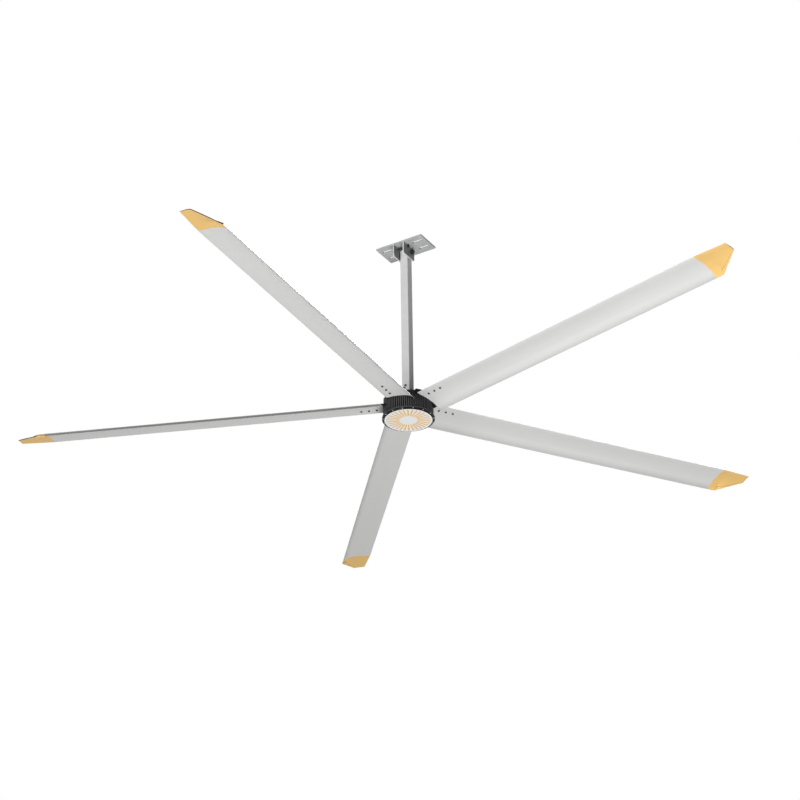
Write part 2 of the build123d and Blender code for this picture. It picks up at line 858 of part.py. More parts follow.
# Rotor drum with cooling fins, cover seats and a bottom flange
cover_angles = [a + b for a in blade_angles for b in cover_screw_angles]
arm_bolt_places = [a + b for a in blade_angles for b in arm_bolt_angles]
trim_places = [360 / trim_screw_count * i for i in range(trim_screw_count)]
with BuildPart() as motor_drum:
    with BuildSketch(Plane.XY.offset(drum_bottom_z)):
        Circle(fin_tip_r)
        with PolarLocations(fin_tip_r, fin_count, start_angle=180 / fin_count):
            Rectangle(2 * (fin_tip_r - drum_wall_r), fin_gap, mode=Mode.SUBTRACT)
        Circle(drum_bore_r, mode=Mode.SUBTRACT)
    extrude(amount=drum_top_z - drum_bottom_z)
    with PolarLocations(0, blade_count, start_angle=blade_first_angle):
        add(arm_window.part, mode=Mode.SUBTRACT)
        add(finger_slot.part, mode=Mode.SUBTRACT)
    with BuildSketch(Plane.XY.offset(flange_low_z)):
        Circle(flange_r)
        Circle(drum_bore_r, mode=Mode.SUBTRACT)
    extrude(amount=flange_thick)
    for seat_z, out in ((drum_top_z, 1), (flange_low_z, -1)):
        with BuildSketch(Plane.XY.offset(seat_z - out * cover_thick)):
            Circle(cover_seat_r)
        extrude(amount=out * (cover_thick + cut_over), mode=Mode.SUBTRACT)
        with BuildSketch(Plane.XY.offset(seat_z)):
            with Locations(*ring_places(cover_screw_circle_r, cover_angles)):
                Circle(cover_screw_r + fit_gap)
        extrude(amount=-out * (cover_screw_length + cut_over), mode=Mode.SUBTRACT)
    with BuildSketch(Plane.XY.offset(drum_top_z)):
        with Locations(*ring_places(cover_screw_circle_r, arm_bolt_places)):
            Circle(arm_bolt_r + fit_gap)
    extrude(amount=-arm_bolt_length, mode=Mode.SUBTRACT)
    with BuildSketch(Plane.XY.offset(flange_low_z)):
        with Locations(*ring_places(trim_screw_circle_r, trim_places)):
            Circle(trim_screw_r + fit_gap)
    extrude(amount=trim_screw_length - trim_lip + seat_gap, mode=Mode.SUBTRACT)
keep("motor_drum", motor_drum)

# Covers with their bearing housings
boss_bore_r = bearing_outer_r - boss_lip
with BuildPart() as top_cover:
    with BuildSketch(Plane.XY.offset(drum_top_z - cover_thick)):
        Circle(cover_seat_r - fit_gap)
        with Locations(*ring_places(cover_screw_circle_r, cover_angles)):
            Circle(cover_screw_r + fit_gap, mode=Mode.SUBTRACT)
        with Locations(*ring_places(cover_screw_circle_r, arm_bolt_places)):
            Circle(arm_bolt_r + fit_gap, mode=Mode.SUBTRACT)
    extrude(amount=cover_thick)
    with BuildSketch(Plane.XY.offset(bearing_top_z)):
        Circle(bearing_outer_r + boss_wall)
    extrude(amount=drum_top_z - cover_thick - bearing_top_z)
    with BuildSketch(Plane.XY.offset(bearing_top_z)):
        Circle(bearing_outer_r + fit_gap)
    extrude(amount=bearing_width, mode=Mode.SUBTRACT)
    with BuildSketch(Plane.XY.offset(bearing_top_z)):
        Circle(boss_bore_r)
    extrude(amount=drum_top_z - bearing_top_z, mode=Mode.SUBTRACT)
keep("top_cover", top_cover)

with BuildPart() as bottom_cover:
    with BuildSketch(Plane.XY.offset(flange_low_z)):
        Circle(cover_seat_r - fit_gap)
        with Locations(*ring_places(cover_screw_circle_r, cover_angles)):
            Circle(cover_screw_r + fit_gap, mode=Mode.SUBTRACT)
    extrude(amount=cover_thick)
    with BuildSketch(Plane.XY.offset(flange_low_z + cover_thick)):
        Circle(bearing_outer_r + boss_wall)
    extrude(amount=bearing_low_z - flange_low_z - cover_thick)
    with BuildSketch(Plane.XY.offset(ring_floor_z)):
        Circle(bearing_outer_r + fit_gap)
    extrude(amount=bearing_width, mode=Mode.SUBTRACT)
    with BuildSketch(Plane.XY.offset(ring_floor_z)):
        Circle(boss_bore_r)
    extrude(amount=-(shaft_thread_length + locknut_clear), mode=Mode.SUBTRACT)
keep("bottom_cover", bottom_cover)

cover_seats = level_seats(cover_screw_circle_r, cover_angles, drum_top_z, True)
cover_seats += level_seats(cover_screw_circle_r, cover_angles, flange_low_z, False)
cover_screws = round_screws(
    cover_seats, cover_screw_head_r, cover_screw_head, cover_screw_r, cover_screw_length
)
keep("cover_screws", cover_screws)

# Seal between the top cover and the shaft
with BuildPart() as shaft_seal:
    with BuildSketch(Plane.XY.offset(shoulder_z + seal_lift)):
        Circle(boss_bore_r - fit_gap)
        Circle(shaft_collar_r + seat_gap, mode=Mode.SUBTRACT)
    extrude(amount=drum_top_z - shoulder_z - seal_lift)
keep("shaft_seal", shaft_seal)

# Magnets lining the drum
with BuildPart() as magnets:
    with BuildSketch(Plane.XY.offset(motor_mid_z - magnet_length / 2)):
        Circle(drum_bore_r)
        Circle(drum_bore_r - magnet_thick, mode=Mode.SUBTRACT)
        with PolarLocations(drum_bore_r, magnet_count):
            Rectangle(4 * magnet_thick, magnet_gap, mode=Mode.SUBTRACT)
    extrude(amount=magnet_length)
keep("magnets", magnets)

# Trim ring under the drum, and the front disc inside it
with BuildPart() as trim_ring:
    with BuildSketch(Plane.XZ):
        with BuildLine():
            Polyline(
                (trim_bore_r, flange_low_z),
                (flange_r, flange_low_z),
                (flange_r, flange_low_z - trim_lip),
                (trim_step_r, flange_low_z - trim_lip),
                (trim_nose_r, flange_low_z - trim_depth),
                (disc_r + seat_gap, flange_low_z - trim_depth),
                (disc_r + seat_gap, flange_low_z - trim_depth + disc_thick),
                (trim_bore_r, flange_low_z - trim_depth + disc_thick),
                close=True,
            )
        make_face()
    revolve(axis=Axis.Z)
    with BuildSketch(Plane.XY.offset(flange_low_z)):
        with Locations(*ring_places(trim_screw_circle_r, trim_places)):
            Circle(trim_screw_r + fit_gap)
    extrude(amount=-trim_lip, mode=Mode.SUBTRACT)
keep("trim_ring", trim_ring)

trim_seats = level_seats(trim_screw_circle_r, trim_places, flange_low_z - trim_lip, False)
trim_screws = round_screws(
    trim_seats, trim_screw_head_r, trim_screw_head, trim_screw_r, trim_screw_length
)
keep("trim_screws", trim_screws)

disc_low_z = flange_low_z - trim_depth
ray_start_r = ray_start_share * disc_r + ray_start_width / 2
ray_end_r = ray_end_share * disc_r - ray_end_width / 2


def ray_outline(room):
    """One ray with round ends, or its groove when room is left round it."""
    with BuildSketch() as outline:
        with Locations((ray_start_r, 0)):
            Circle(ray_start_width / 2 + room)
        with Locations((ray_end_r, 0)):
            Circle(ray_end_width / 2 + room)
        make_hull()
    return outline


ray_groove = ray_outline(fit_gap)
with BuildPart() as front_disc:
    with BuildSketch(Plane.XY.offset(disc_low_z)):
        Circle(disc_r)
    extrude(amount=disc_thick)
    with BuildSketch(Plane.XY.offset(disc_low_z)):
        with PolarLocations(0, ray_count):
            add(ray_groove.sketch)
    extrude(amount=ray_depth, mode=Mode.SUBTRACT)
    with BuildSketch(Plane.XY.offset(disc_low_z + disc_thick)):
        Circle(trim_bore_r - seat_gap)
        Circle(trim_bore_r - seat_gap - disc_rim, mode=Mode.SUBTRACT)
    extrude(amount=disc_rim_height)
keep("front_disc", front_disc)

# Sunburst of rays inlaid flush with the lower face of the front disc
one_ray = ray_outline(0)
with BuildPart() as sun_rays:
    with BuildSketch(Plane.XY.offset(disc_low_z)):
        with PolarLocations(0, ray_count):
            add(one_ray.sketch)
    extrude(amount=ray_depth)
keep("sun_rays", sun_rays)

# One blade along +X, with its bolt holes through the lower skin
bolt_seats = [
    skin_plane(bolt_first_r + bolt_pitch * i, bolt_share, False).offset(spot_depth)
    for i in range(bolt_count)
]
plug_end_r = blade_end_r - cap_plug_length
cap_seats = [
    skin_plane(blade_end_r - cap_screw_inset, share, True).offset(spot_depth)
    for share in cap_screw_shares
]
with BuildPart() as blade_shape:
    with BuildSketch(section_plane(blade_root_r)):
        add(blade_outline.sketch)
        add(blade_cells.sketch, mode=Mode.SUBTRACT)
    extrude(amount=blade_end_r - blade_root_r)
    for seats, hole_r, spot_r in (
        (bolt_seats, bolt_hole_r, bolt_flange_r + seat_gap),
        (cap_seats, cap_screw_r + fit_gap, cap_screw_head_r + seat_gap),
    ):
        for seat in seats:
            with BuildSketch(seat):
                Circle(hole_r)
            extrude(amount=skin + seat_gap, mode=Mode.SUBTRACT)
            with BuildSketch(seat):
                Circle(spot_r)
            extrude(amount=-cut_over, mode=Mode.SUBTRACT)

# One blade arm along +X
saddle_lead = arm_window_lead - arm_window_clear
saddle_trail = arm_window_trail - arm_window_clear
saddle_ahead = arm_lead_over - arm_side_gap
with BuildPart() as arm_saddle:
    with BuildSketch(level_plane(0)):
        Polygon(
            *underside_to(0, arm_main_share, arm_side_gap, drum_top_rise, saddle_ahead),
            align=None,
        )
    extrude(amount=flange_r)
    with BuildSketch(Plane.XY.offset(drum_bottom_z)):
        with BuildLine():
            side_a = ring_places(arm_bore_r, (-saddle_lead, 0, saddle_trail))
            side_b = ring_places(arm_root_r, (saddle_trail, 0, -saddle_lead))
            ThreePointArc(*side_a)
            Line(side_a[-1], side_b[0])
            ThreePointArc(*side_b)
            Line(side_b[-1], side_a[0])
        make_face()
    extrude(amount=drum_top_z - drum_bottom_z, mode=Mode.INTERSECT)

with BuildPart() as arm_shape:
    with BuildSketch(level_plane(0)):
        Polygon(*underside_band(0, arm_rear_share, arm_side_gap, arm_plate), align=None)
    extrude(amount=arm_root_r)
    with BuildSketch(Plane.XY.offset(drum_bottom_z)):
        with Locations((arm_root_r, (arm_slot_start + arm_slot_end) / 2)):
            Rectangle(flange_r - drum_wall_r, arm_slot_end - arm_slot_start)
        Circle(arm_root_r, mode=Mode.SUBTRACT)
    extrude(amount=drum_top_z - drum_bottom_z, mode=Mode.SUBTRACT)
    with BuildSketch(section_plane(drum_bore_r)):
        add(tongue_outline.sketch)
    extrude(amount=blade_root_r + tongue_length - drum_bore_r)
    with BuildSketch(Plane.XZ.offset(gusset_start)):
        Polygon(
            (arm_foot_inner_r, drum_top_z),
            (arm_foot_inner_r, drum_top_z + arm_foot_thick),
            (gusset_top_r, drum_top_z + arm_foot_thick + gusset_rise),
            (gusset_tip_r, blade_plane_z + gusset_tip_rise),
            (blade_root_r, blade_plane_z + gusset_low_rise),
            (arm_root_r, blade_plane_z + gusset_low_rise),
            (arm_root_r, blade_plane_z + lead_z),
            (arm_foot_inner_r, blade_plane_z + lead_z),
            align=None,
        )
    extrude(amount=gusset_end - gusset_start)
    with BuildSketch(Plane.XY.offset(drum_bottom_z)):
        Circle(arm_bore_r)
    extrude(amount=drum_top_z - drum_bottom_z, mode=Mode.SUBTRACT)
    add(arm_saddle.part)
    with BuildSketch(Plane.XY.offset(drum_top_z)):
        with BuildLine():
            foot_a = ring_places(arm_foot_inner_r, (-arm_foot_lead, 0, arm_foot_trail))
            foot_b = ring_places(arm_root_r, (arm_foot_trail, 0, -arm_foot_lead))
            ThreePointArc(*foot_a)
            Line(foot_a[-1], foot_b[0])
            ThreePointArc(*foot_b)
            Line(foot_b[-1], foot_a[0])
        make_face()
    extrude(amount=arm_foot_thick)
    with BuildSketch(Plane.XY.offset(drum_top_z)):
        with Locations(*ring_places(cover_screw_circle_r, arm_bolt_angles)):
            Circle(arm_bolt_hole_r)
    extrude(amount=arm_foot_thick, mode=Mode.SUBTRACT)
    for seat in bolt_seats:
        with BuildSketch(seat):
            Circle(bolt_r + fit_gap)
        extrude(amount=chord * thick_at(bolt_share), mode=Mode.SUBTRACT)

# One tip cap along +X: tapered body, raised rim and a plug that enters the blade
tail_y, tail_z = level_point(1, 0)
far_lead = (
    blade_end_r + 2 * cap_lead_reach - cap_corner_reach,
    -2 * cap_lead_y - cap_corner_y,
)
corner_r = blade_end_r + cap_corner_reach
oblique_x = cap_trail_reach - cap_corner_reach
oblique_y = cap_trail_y - cap_corner_y
oblique_length = hypot(oblique_x, oblique_y)
oblique = Vector(oblique_x, oblique_y, 0) / oblique_length
inward = Vector(-oblique_y, oblique_x, 0) / oblique_length
path_end = Vector(corner_r, cap_corner_y, 0) + oblique * oblique_length * (1 - cap_over_share)
cap_path = [
    (blade_end_r, far_lead[1]),
    far_lead,
    (corner_r, cap_corner_y),
    (path_end.X, path_end.Y),
    (blade_end_r, path_end.Y),
]


def cap_section(reach):
    """Lower and upper points of the cap's body at one reach, on the level plane.

    The leading edge runs in, the body thins, and the underside bends until it meets the
    straight oblique edge.
    """
    lead = -lead_y + (lead_y - cap_lead_y) * reach / cap_lead_reach
    across = tail_y - lead
    fall = tail_z - lead_z
    thinner = 1 - (1 - cap_end_thick_share) * reach / cap_corner_reach
    plain = [(lead + across * a - fall * h, lead_z + fall * a + across * h) for a, h in under_shares]
    place = (reach - cap_corner_reach) / oblique_x
    edge_y = min(tail_y, cap_corner_y + oblique_y * place)
    edge_z = cap_corner_z + (cap_trail_z - cap_corner_z) * min(place, 1)
    grown = min(reach / cap_trail_reach, 1) ** 2
    bend = grown * (edge_z - share_at(plain, edge_y))
    lower = []
    upper = []
    for (y, z), (a, _) in zip(plain, under_shares):
        share = (y - lead) / (edge_y - lead)
        low_z = z + bend * (share * share if share < 1 else 2 * share - 1)
        thick = thick_at(a) * thinner
        lower.append((y, low_z))
        upper.append((y - fall * thick, low_z + across * thick))
    return lower, upper


def rim_station(step):
    """Plane across the oblique edge, with the corners of the rim's section on it."""
    place = cap_over_share + (1 - 2 * cap_over_share) * step / (cap_stations - 1)
    within = min(max(place, 0), 1)
    width = cap_strip_start + (cap_strip_end - cap_strip_start) * within
    proud = cap_step_start + (cap_step_end - cap_step_start) * within
    wall = cap_wall_low + (cap_wall_high - cap_wall_low) * within ** cap_wall_power
    edge_z = cap_corner_z + (cap_trail_z - cap_corner_z) * place
    outer = Vector(corner_r, cap_corner_y, 0) + oblique * oblique_length * place
    inner = outer + inward * width
    inner_z = share_at(cap_section(inner.X - blade_end_r)[0], inner.Y)
    plane = Plane(
        outer + Vector(0, 0, blade_plane_z),
        x_dir=inward,
        z_dir=inward.cross(Vector(0, 0, 1)),
    )
    corners = [
        (0, edge_z - cap_step_start),
        (width, inner_z - proud),
        (width, inner_z + cap_lip),
        (cap_wall, edge_z + wall),
        (0, edge_z + wall),
    ]
    return plane, corners


with BuildPart() as rim_shape:
    for step in range(cap_stations):
        station, corners = rim_station(step)
        with BuildSketch(station):
            Polygon(*corners, align=None)
    loft(ruled=True)
    with BuildSketch(Plane.XY.offset(drum_bottom_z)):
        Polygon(*cap_path, align=None)
    extrude(amount=drum_top_z - drum_bottom_z, mode=Mode.INTERSECT)
    with BuildSketch(Plane.XY.offset(drum_bottom_z)):
        with Locations((blade_end_r + cap_strip_reach, tail_y)):
            Rectangle(cap_over_reach, chord, align=(Align.MAX, Align.CENTER))
    extrude(amount=drum_top_z - drum_bottom_z, mode=Mode.SUBTRACT)

outer_step = (cap_over_reach - cap_trail_reach) / (cap_sections - 1)
outer_reaches = [cap_trail_reach + outer_step * i for i in range(cap_sections)]
with BuildPart() as cap_shape:
    for reaches, straight in (((0, cap_trail_reach), True), (outer_reaches, False)):
        for reach in reaches:
            lower, upper = cap_section(reach)
            with BuildSketch(level_plane(blade_end_r + reach)):
                with BuildLine():
                    Spline(*lower)
                    Spline(*upper)
                    Line(lower[-1], upper[-1])
                make_face()
        loft(ruled=straight)
    with BuildSketch(Plane.XY.offset(drum_bottom_z)):
        Polygon(*cap_path, align=None)
    extrude(amount=drum_top_z - drum_bottom_z, mode=Mode.INTERSECT)
    add(rim_shape.part)
    with BuildSketch(section_plane(plug_end_r)):
        add(tongue_outline.sketch)
    extrude(amount=cap_plug_length)
    with BuildSketch(section_plane(plug_end_r)):
        add(plug_core.sketch)
    extrude(amount=cap_plug_length + cap_core_reach, mode=Mode.SUBTRACT)
    for seat in cap_seats:
        with BuildSketch(seat):
            Circle(cap_screw_r + fit_gap)
        extrude(amount=cap_screw_length + bolt_tip_gap, mode=Mode.SUBTRACT)

# Fasteners of one blade along +X
bolt_length = chord * thick_at(bolt_share) - skin - bolt_tip_gap
bolt_set = flange_bolts(
    bolt_seats,
    bolt_head_across,
    bolt_head_high,
    bolt_flange_r,
    bolt_flange_thick,
    bolt_r,
    bolt_length,
)
screw_set = round_screws(
    cap_seats, cap_screw_head_r, cap_screw_head, cap_screw_r, cap_screw_length
)
foot_top_z = drum_top_z + arm_foot_thick
arm_seats = level_seats(cover_screw_circle_r, arm_bolt_angles, foot_top_z, True)
arm_bolt_set = hex_bolts(
    arm_seats, arm_bolt_head_across, arm_bolt_head_high, arm_bolt_r, arm_bolt_length
)

# The five arms, blades and caps, each a piece of its own
for number, angle in enumerate(blade_angles, start=1):
    for name, shape in (
        ("blade_arm", arm_shape),
        ("blade", blade_shape),
        ("tip_cap", cap_shape),
    ):
        with BuildPart() as piece:
            add(shape.part, rotation=(0, 0, angle))
        keep(name + "_" + str(number), piece)

# All fasteners of one kind together
for name, one_set in (
    ("blade_bolts", bolt_set),
    ("cap_screws", screw_set),
    ("arm_bolts", arm_bolt_set),
):
    with BuildPart() as piece:
        for angle in blade_angles:
            add(one_set.part, rotation=(0, 0, angle))
    keep(name, piece)
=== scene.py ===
"""Finishes and stage for a five bladed high volume low speed ceiling fan."""

from math import radians

import bpy
from bpy.props import FloatProperty, FloatVectorProperty, PointerProperty
from mathutils import Euler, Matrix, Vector

bl_info = {
    "name": "Ceiling fan finishes",
    "version": (1, 0, 0),
    "blender": (4, 5, 0),
    "location": "3D View > Sidebar > Ceiling fan",
    "description": "Finishes the pieces of a large ceiling fan and sets its stage",
    "category": "Object",
}

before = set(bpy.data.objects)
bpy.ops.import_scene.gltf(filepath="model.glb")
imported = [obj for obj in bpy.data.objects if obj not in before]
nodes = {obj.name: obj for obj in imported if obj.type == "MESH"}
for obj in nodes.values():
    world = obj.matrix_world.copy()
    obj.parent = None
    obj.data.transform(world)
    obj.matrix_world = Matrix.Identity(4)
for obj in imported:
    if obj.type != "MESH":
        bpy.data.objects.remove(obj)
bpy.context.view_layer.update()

TAB = "Ceiling fan"

# Blade numbers and the direction each blade points in, in degrees from +X
BLADE_TURNS = {1: -13.95, 2: 58.05, 3: 130.05, 4: 202.05, 5: 274.05}

# Distances from the fan's axis between which a fin goes from its dark foot to its crest, where a
# grey highlight is painted
FIN_CREST = (0.1478, 0.1496)

# Distances from the fan's axis between which a ray goes from amber to orange
RAY_SPAN = (0.06, 0.13)

# How much of the tone under it each painted shade leaves, where 1 is all of it
BLADE_EDGE_SHADE = 0.38
PLATE_SIDE_SHADE = 0.06
EAR_SIDE_SHADE = 0.28

# Painted light: the ears are painted this much lighter than the plate, whose zinc is the same
EAR_PAINTED_LIGHT = 1.25

# Linear colours of wear, dirt, painted shade, a painted highlight and small fittings
GOLD_FLAKE = (0.98, 0.76, 0.42)
GOLD_RUBBED = (0.72, 0.44, 0.14)
# Painted shade on the tip caps' upright walls
GOLD_WALL_SHADE = (0.10, 0.045, 0.02)
COAT_RUBBED = (0.13, 0.13, 0.13)
# Painted highlight on the crests of the drum's fins
FIN_CREST_HIGHLIGHT = (0.085, 0.085, 0.087)
FIN_RUBBED = (0.12, 0.12, 0.12)
OXIDE_BLOOM = (0.055, 0.050, 0.046)
OXIDE_RUBBED = (0.30, 0.30, 0.30)
# Painted shade between the turns of the coils
WIRE_GAP_SHADE = (0.14, 0.045, 0.02)
BUSH_WHITE = (0.75, 0.74, 0.70)
GLAND_BLACK = (0.03, 0.03, 0.03)
SEAL_BLACK = (0.025, 0.025, 0.025)

# The floor's own colour, and the strength of the glow that makes it white where it is seen
FLOOR_GREY = (0.3, 0.3, 0.3, 1.0)
FLOOR_GLOW = 0.85
WHITE = (1.0, 1.0, 1.0, 1.0)

# Points that the wide lamps shine at, and the direction and softness of the far lamp
FRONT_LAMP_AIM = (0.0, 0.0, -0.6)
FLOOR_LAMP_AIM = (0.0, 0.0, -1.13)
BACK_LAMP_TOWARDS = (0.12, -0.7, -0.7)
BACK_LAMP_SOFTNESS = radians(12.0)

# Camera sensor in millimetres, and how far the camera sees in metres
SENSOR_WIDTH = 36.0
VIEW_REACH = 100.0


def colour_setting(name, description, default):
    """A colour that the user can change, in linear values."""
    return FloatVectorProperty(
        name=name,
        description=description,
        default=default,
        size=3,
        min=0.0,
        max=1.0,
        subtype="COLOR",
    )


def size_setting(name, description, default):
    """A length that the user can change, in metres."""
    return FloatProperty(
        name=name,
        description=description,
        default=default,
        min=0.0,
        subtype="DISTANCE",
        unit="LENGTH",
    )


# Settings


class FanPaintSettings(bpy.types.PropertyGroup):
    blade: colour_setting("Blades", "Paint of the blades", (0.80, 0.80, 0.79))
    cap: colour_setting("Tip caps", "Paint of the tip caps", (0.97, 0.62, 0.205))
    drum: colour_setting("Motor drum", "Powder coat of the drum", (0.011, 0.011, 0.012))
    arm: colour_setting("Blade arms", "Powder coat of the arms", (0.012, 0.012, 0.013))
    downrod: colour_setting("Downrod", "Paint of the downrod", (0.90, 0.90, 0.895))
    bracket: colour_setting("Bracket", "Paint of the ceiling bracket", (0.65, 0.66, 0.66))
    disc: colour_setting("Front disc", "Colour of the front disc", (0.98, 0.98, 0.985))
    ray: colour_setting("Sun rays", "Colour of the rays on the disc", (0.95, 0.51, 0.01))


class FanMetalSettings(bpy.types.PropertyGroup):
    zinc: colour_setting("Zinc plate", "Bright zinc plate on small screws", (0.72, 0.73, 0.74))
    steel: colour_setting("Plain steel", "Machined steel", (0.52, 0.53, 0.54))
    blackened: colour_setting("Black oxide", "Blackened bolts and nuts", (0.06, 0.058, 0.056))
    bearing: colour_setting("Bearing steel", "Ground rings and balls", (0.72, 0.73, 0.75))
    core: colour_setting("Core steel", "Edges of the stator sheets", (0.36, 0.37, 0.38))
    magnet: colour_setting("Magnets", "Nickel plate of the magnets", (0.52, 0.52, 0.50))
    copper: colour_setting("Coils", "Enamelled copper wire", (0.72, 0.32, 0.12))
    aluminium: colour_setting("Aluminium", "Bare turned aluminium", (0.66, 0.67, 0.68))


class FanStageSettings(bpy.types.PropertyGroup):
    floor_drop: size_setting("Floor drop", "From the ceiling plate down to the floor", 16.0)
    floor_side: size_setting("Floor side", "Length of one side of the square floor", 90.0)
    camera_place: FloatVectorProperty(
        name="Camera place",
        description="Where the camera stands",
        default=(5.6028, -9.3282, -6.8993),
        subtype="TRANSLATION",
        unit="LENGTH",
    )
    camera_turn: FloatVectorProperty(
        name="Camera turn",
        description="How the camera is turned",
        default=(radians(118.18857), radians(0.67361), radians(31.60635)),
        subtype="EULER",
        unit="ROTATION",
    )
    camera_lens: FloatProperty(
        name="Lens",
        description="Focal length for a sensor 36 mm wide",
        default=93.18,
        min=10.0,
        subtype="DISTANCE_CAMERA",
        unit="CAMERA",
    )
    room_light: FloatProperty(
        name="Room light",
        description="Strength of the even light from all round",
        default=0.05,
        min=0.0,
    )
    front_light: FloatProperty(
        name="Front light",
        description="Power of the wide lamp in front of the fan",
        default=960.0,
        min=0.0,
    )
    front_lamp_place: FloatVectorProperty(
        name="Front lamp place",
        description="Where the wide lamp in front of the fan stands",
        default=(-2.5, -13.5, -2.8),
        subtype="TRANSLATION",
        unit="LENGTH",
    )
    front_lamp_side: size_setting("Front lamp side", "Size of the lamp in front", 5.0)
    back_light: FloatProperty(
        name="Back light",
        description="Strength of the soft far lamp above and behind the fan",
        default=1.9,
        min=0.0,
    )
    floor_light: FloatProperty(
        name="Floor light",
        description="Power of the wide lamp that stands on the floor and shines up",
        default=1130.0,
        min=0.0,
    )
    floor_lamp_place: FloatVectorProperty(
        name="Floor lamp place",
        description="Where the wide lamp on the floor stands",
        default=(5.4, -4.0, -12.6),
        subtype="TRANSLATION",
        unit="LENGTH",
    )
    floor_lamp_side: size_setting("Floor lamp side", "Size of the lamp on the floor", 7.0)


# Building blocks of the finishes


class Finish:
    """One procedural material, with short ways to add and join its nodes."""

    def __init__(self, name):
        self.material = bpy.data.materials.new(name)
        self.material.use_nodes = True
        self.tree = self.material.node_tree
        self.tree.nodes.clear()
        self.shader = self.node("ShaderNodeBsdfPrincipled")
        output = self.node("ShaderNodeOutputMaterial")
        self.join(self.shader.outputs["BSDF"], output.inputs["Surface"])
        self.normal = None

    def node(self, kind, **settings):
        made = self.tree.nodes.new(kind)
        for name, value in settings.items():
            setattr(made, name, value)
        return made

    def join(self, source, target):
        self.tree.links.new(source, target)

    def place(self, turn=0.0, stretch=(1.0, 1.0, 1.0)):
        """Place on the object in metres, with X turned to an angle and each axis scaled."""
        coordinates = self.node("ShaderNodeTexCoord")
        turned = self.node("ShaderNodeVectorRotate", rotation_type="Z_AXIS")
        turned.inputs["Angle"].default_value = -radians(turn)
        self.join(coordinates.outputs["Object"], turned.inputs["Vector"])
        scaled = self.node("ShaderNodeMapping")
        scaled.inputs["Scale"].default_value = stretch
        self.join(turned.outputs["Vector"], scaled.inputs["Vector"])
        return scaled.outputs["Vector"]

    def noise(self, place, size, detail=3.0, roughness=0.5):
        """Cloudy noise from 0 to 1, whose spots are about size metres across."""
        made = self.node("ShaderNodeTexNoise")
        made.inputs["Scale"].default_value = 1.0 / size
        made.inputs["Detail"].default_value = detail
        made.inputs["Roughness"].default_value = roughness
        self.join(place, made.inputs["Vector"])
        return made.outputs["Fac"]

    def cells(self, place, size):
        """Cell noise, whose cells are about size metres across."""
        made = self.node("ShaderNodeTexVoronoi")
        made.inputs["Scale"].default_value = 1.0 / size
        self.join(place, made.inputs["Vector"])
        return made

    def levels(self, value, low, high, to_low, to_high):
        """A value mapped from one range to another, and held inside it."""
        made = self.node("ShaderNodeMapRange")
        made.inputs["From Min"].default_value = low
        made.inputs["From Max"].default_value = high
        made.inputs["To Min"].default_value = to_low
        made.inputs["To Max"].default_value = to_high
        self.join(value, made.inputs["Value"])
        return made.outputs["Result"]

    def blend(self, share, first, second):
        """A colour between two colours. Each is a plain colour or a socket."""
        made = self.node("ShaderNodeMix", data_type="RGBA")
        self.join(share, made.inputs["Factor"])
        for name, colour in (("A", first), ("B", second)):
            socket = next(s for s in made.inputs if s.name == name and s.type == "RGBA")
            if isinstance(colour, bpy.types.NodeSocket):
                self.join(colour, socket)
            else:
                socket.default_value = (*colour, 1.0)
        return next(s for s in made.outputs if s.type == "RGBA")

    def relief(self, height, depth, strength):
        """Raise the surface by a height from 0 to 1, depth metres high."""
        made = self.node("ShaderNodeBump")
        made.inputs["Strength"].default_value = strength
        made.inputs["Distance"].default_value = depth
        self.join(height, made.inputs["Height"])
        if self.normal is not None:
            self.join(self.normal, made.inputs["Normal"])
        self.normal = made.outputs["Normal"]
        self.join(self.normal, self.shader.inputs["Normal"])

    def worn_edges(self, width):
        """1 on edges narrower than width metres and 0 on open faces."""
        rounded = self.node("ShaderNodeBevel")
        rounded.inputs["Radius"].default_value = width
        flat = self.node("ShaderNodeNewGeometry")
        alike = self.node("ShaderNodeVectorMath", operation="DOT_PRODUCT")
        self.join(rounded.outputs["Normal"], alike.inputs[0])
        self.join(flat.outputs["Normal"], alike.inputs[1])
        return self.levels(alike.outputs["Value"], 0.97, 0.75, 0.0, 1.0)

    def facing(self, axis, low, high, both_ways=False):
        """0 where the surface's normal has the share low on a world axis, and 1 where it has high.

        With both_ways the two senses of the axis count alike.
        """
        flat = self.node("ShaderNodeNewGeometry")
        parts = self.node("ShaderNodeSeparateXYZ")
        self.join(flat.outputs["Normal"], parts.inputs["Vector"])
        share = parts.outputs[axis]
        if both_ways:
            either = self.node("ShaderNodeMath", operation="ABSOLUTE")
            self.join(share, either.inputs[0])
            share = either.outputs["Value"]
        return self.levels(share, low, high, 0.0, 1.0)

    def reach(self, place):
        """Distance from the upright axis, in metres."""
        flat = self.node("ShaderNodeMapping")
        flat.inputs["Scale"].default_value = (1.0, 1.0, 0.0)
        self.join(place, flat.inputs["Vector"])
        length = self.node("ShaderNodeVectorMath", operation="LENGTH")
        self.join(flat.outputs["Vector"], length.inputs[0])
        return length.outputs["Value"]

    def set(self, **values):
        """Constant values on the shader, named in lower case with _ for spaces."""
        for name, value in values.items():
            wanted = name.replace("_", " ").lower()
            socket = next(s for s in self.shader.inputs if s.name.lower() == wanted)
            socket.default_value = (*value, 1.0) if socket.type == "RGBA" else value


def shade(colour, factor):
    """A colour made darker or lighter, held below full white."""
    return tuple(min(1.0, part * factor) for part in colour)


def give(finish, *names):
    """Put a finish on the shape nodes with these names."""
    for name in names:
        materials = nodes[name].data.materials
        if len(materials) == 0:
            materials.append(finish.material)
        for index in range(len(materials)):
            nodes[name].material_slots[index].material = finish.material


# Painted finishes


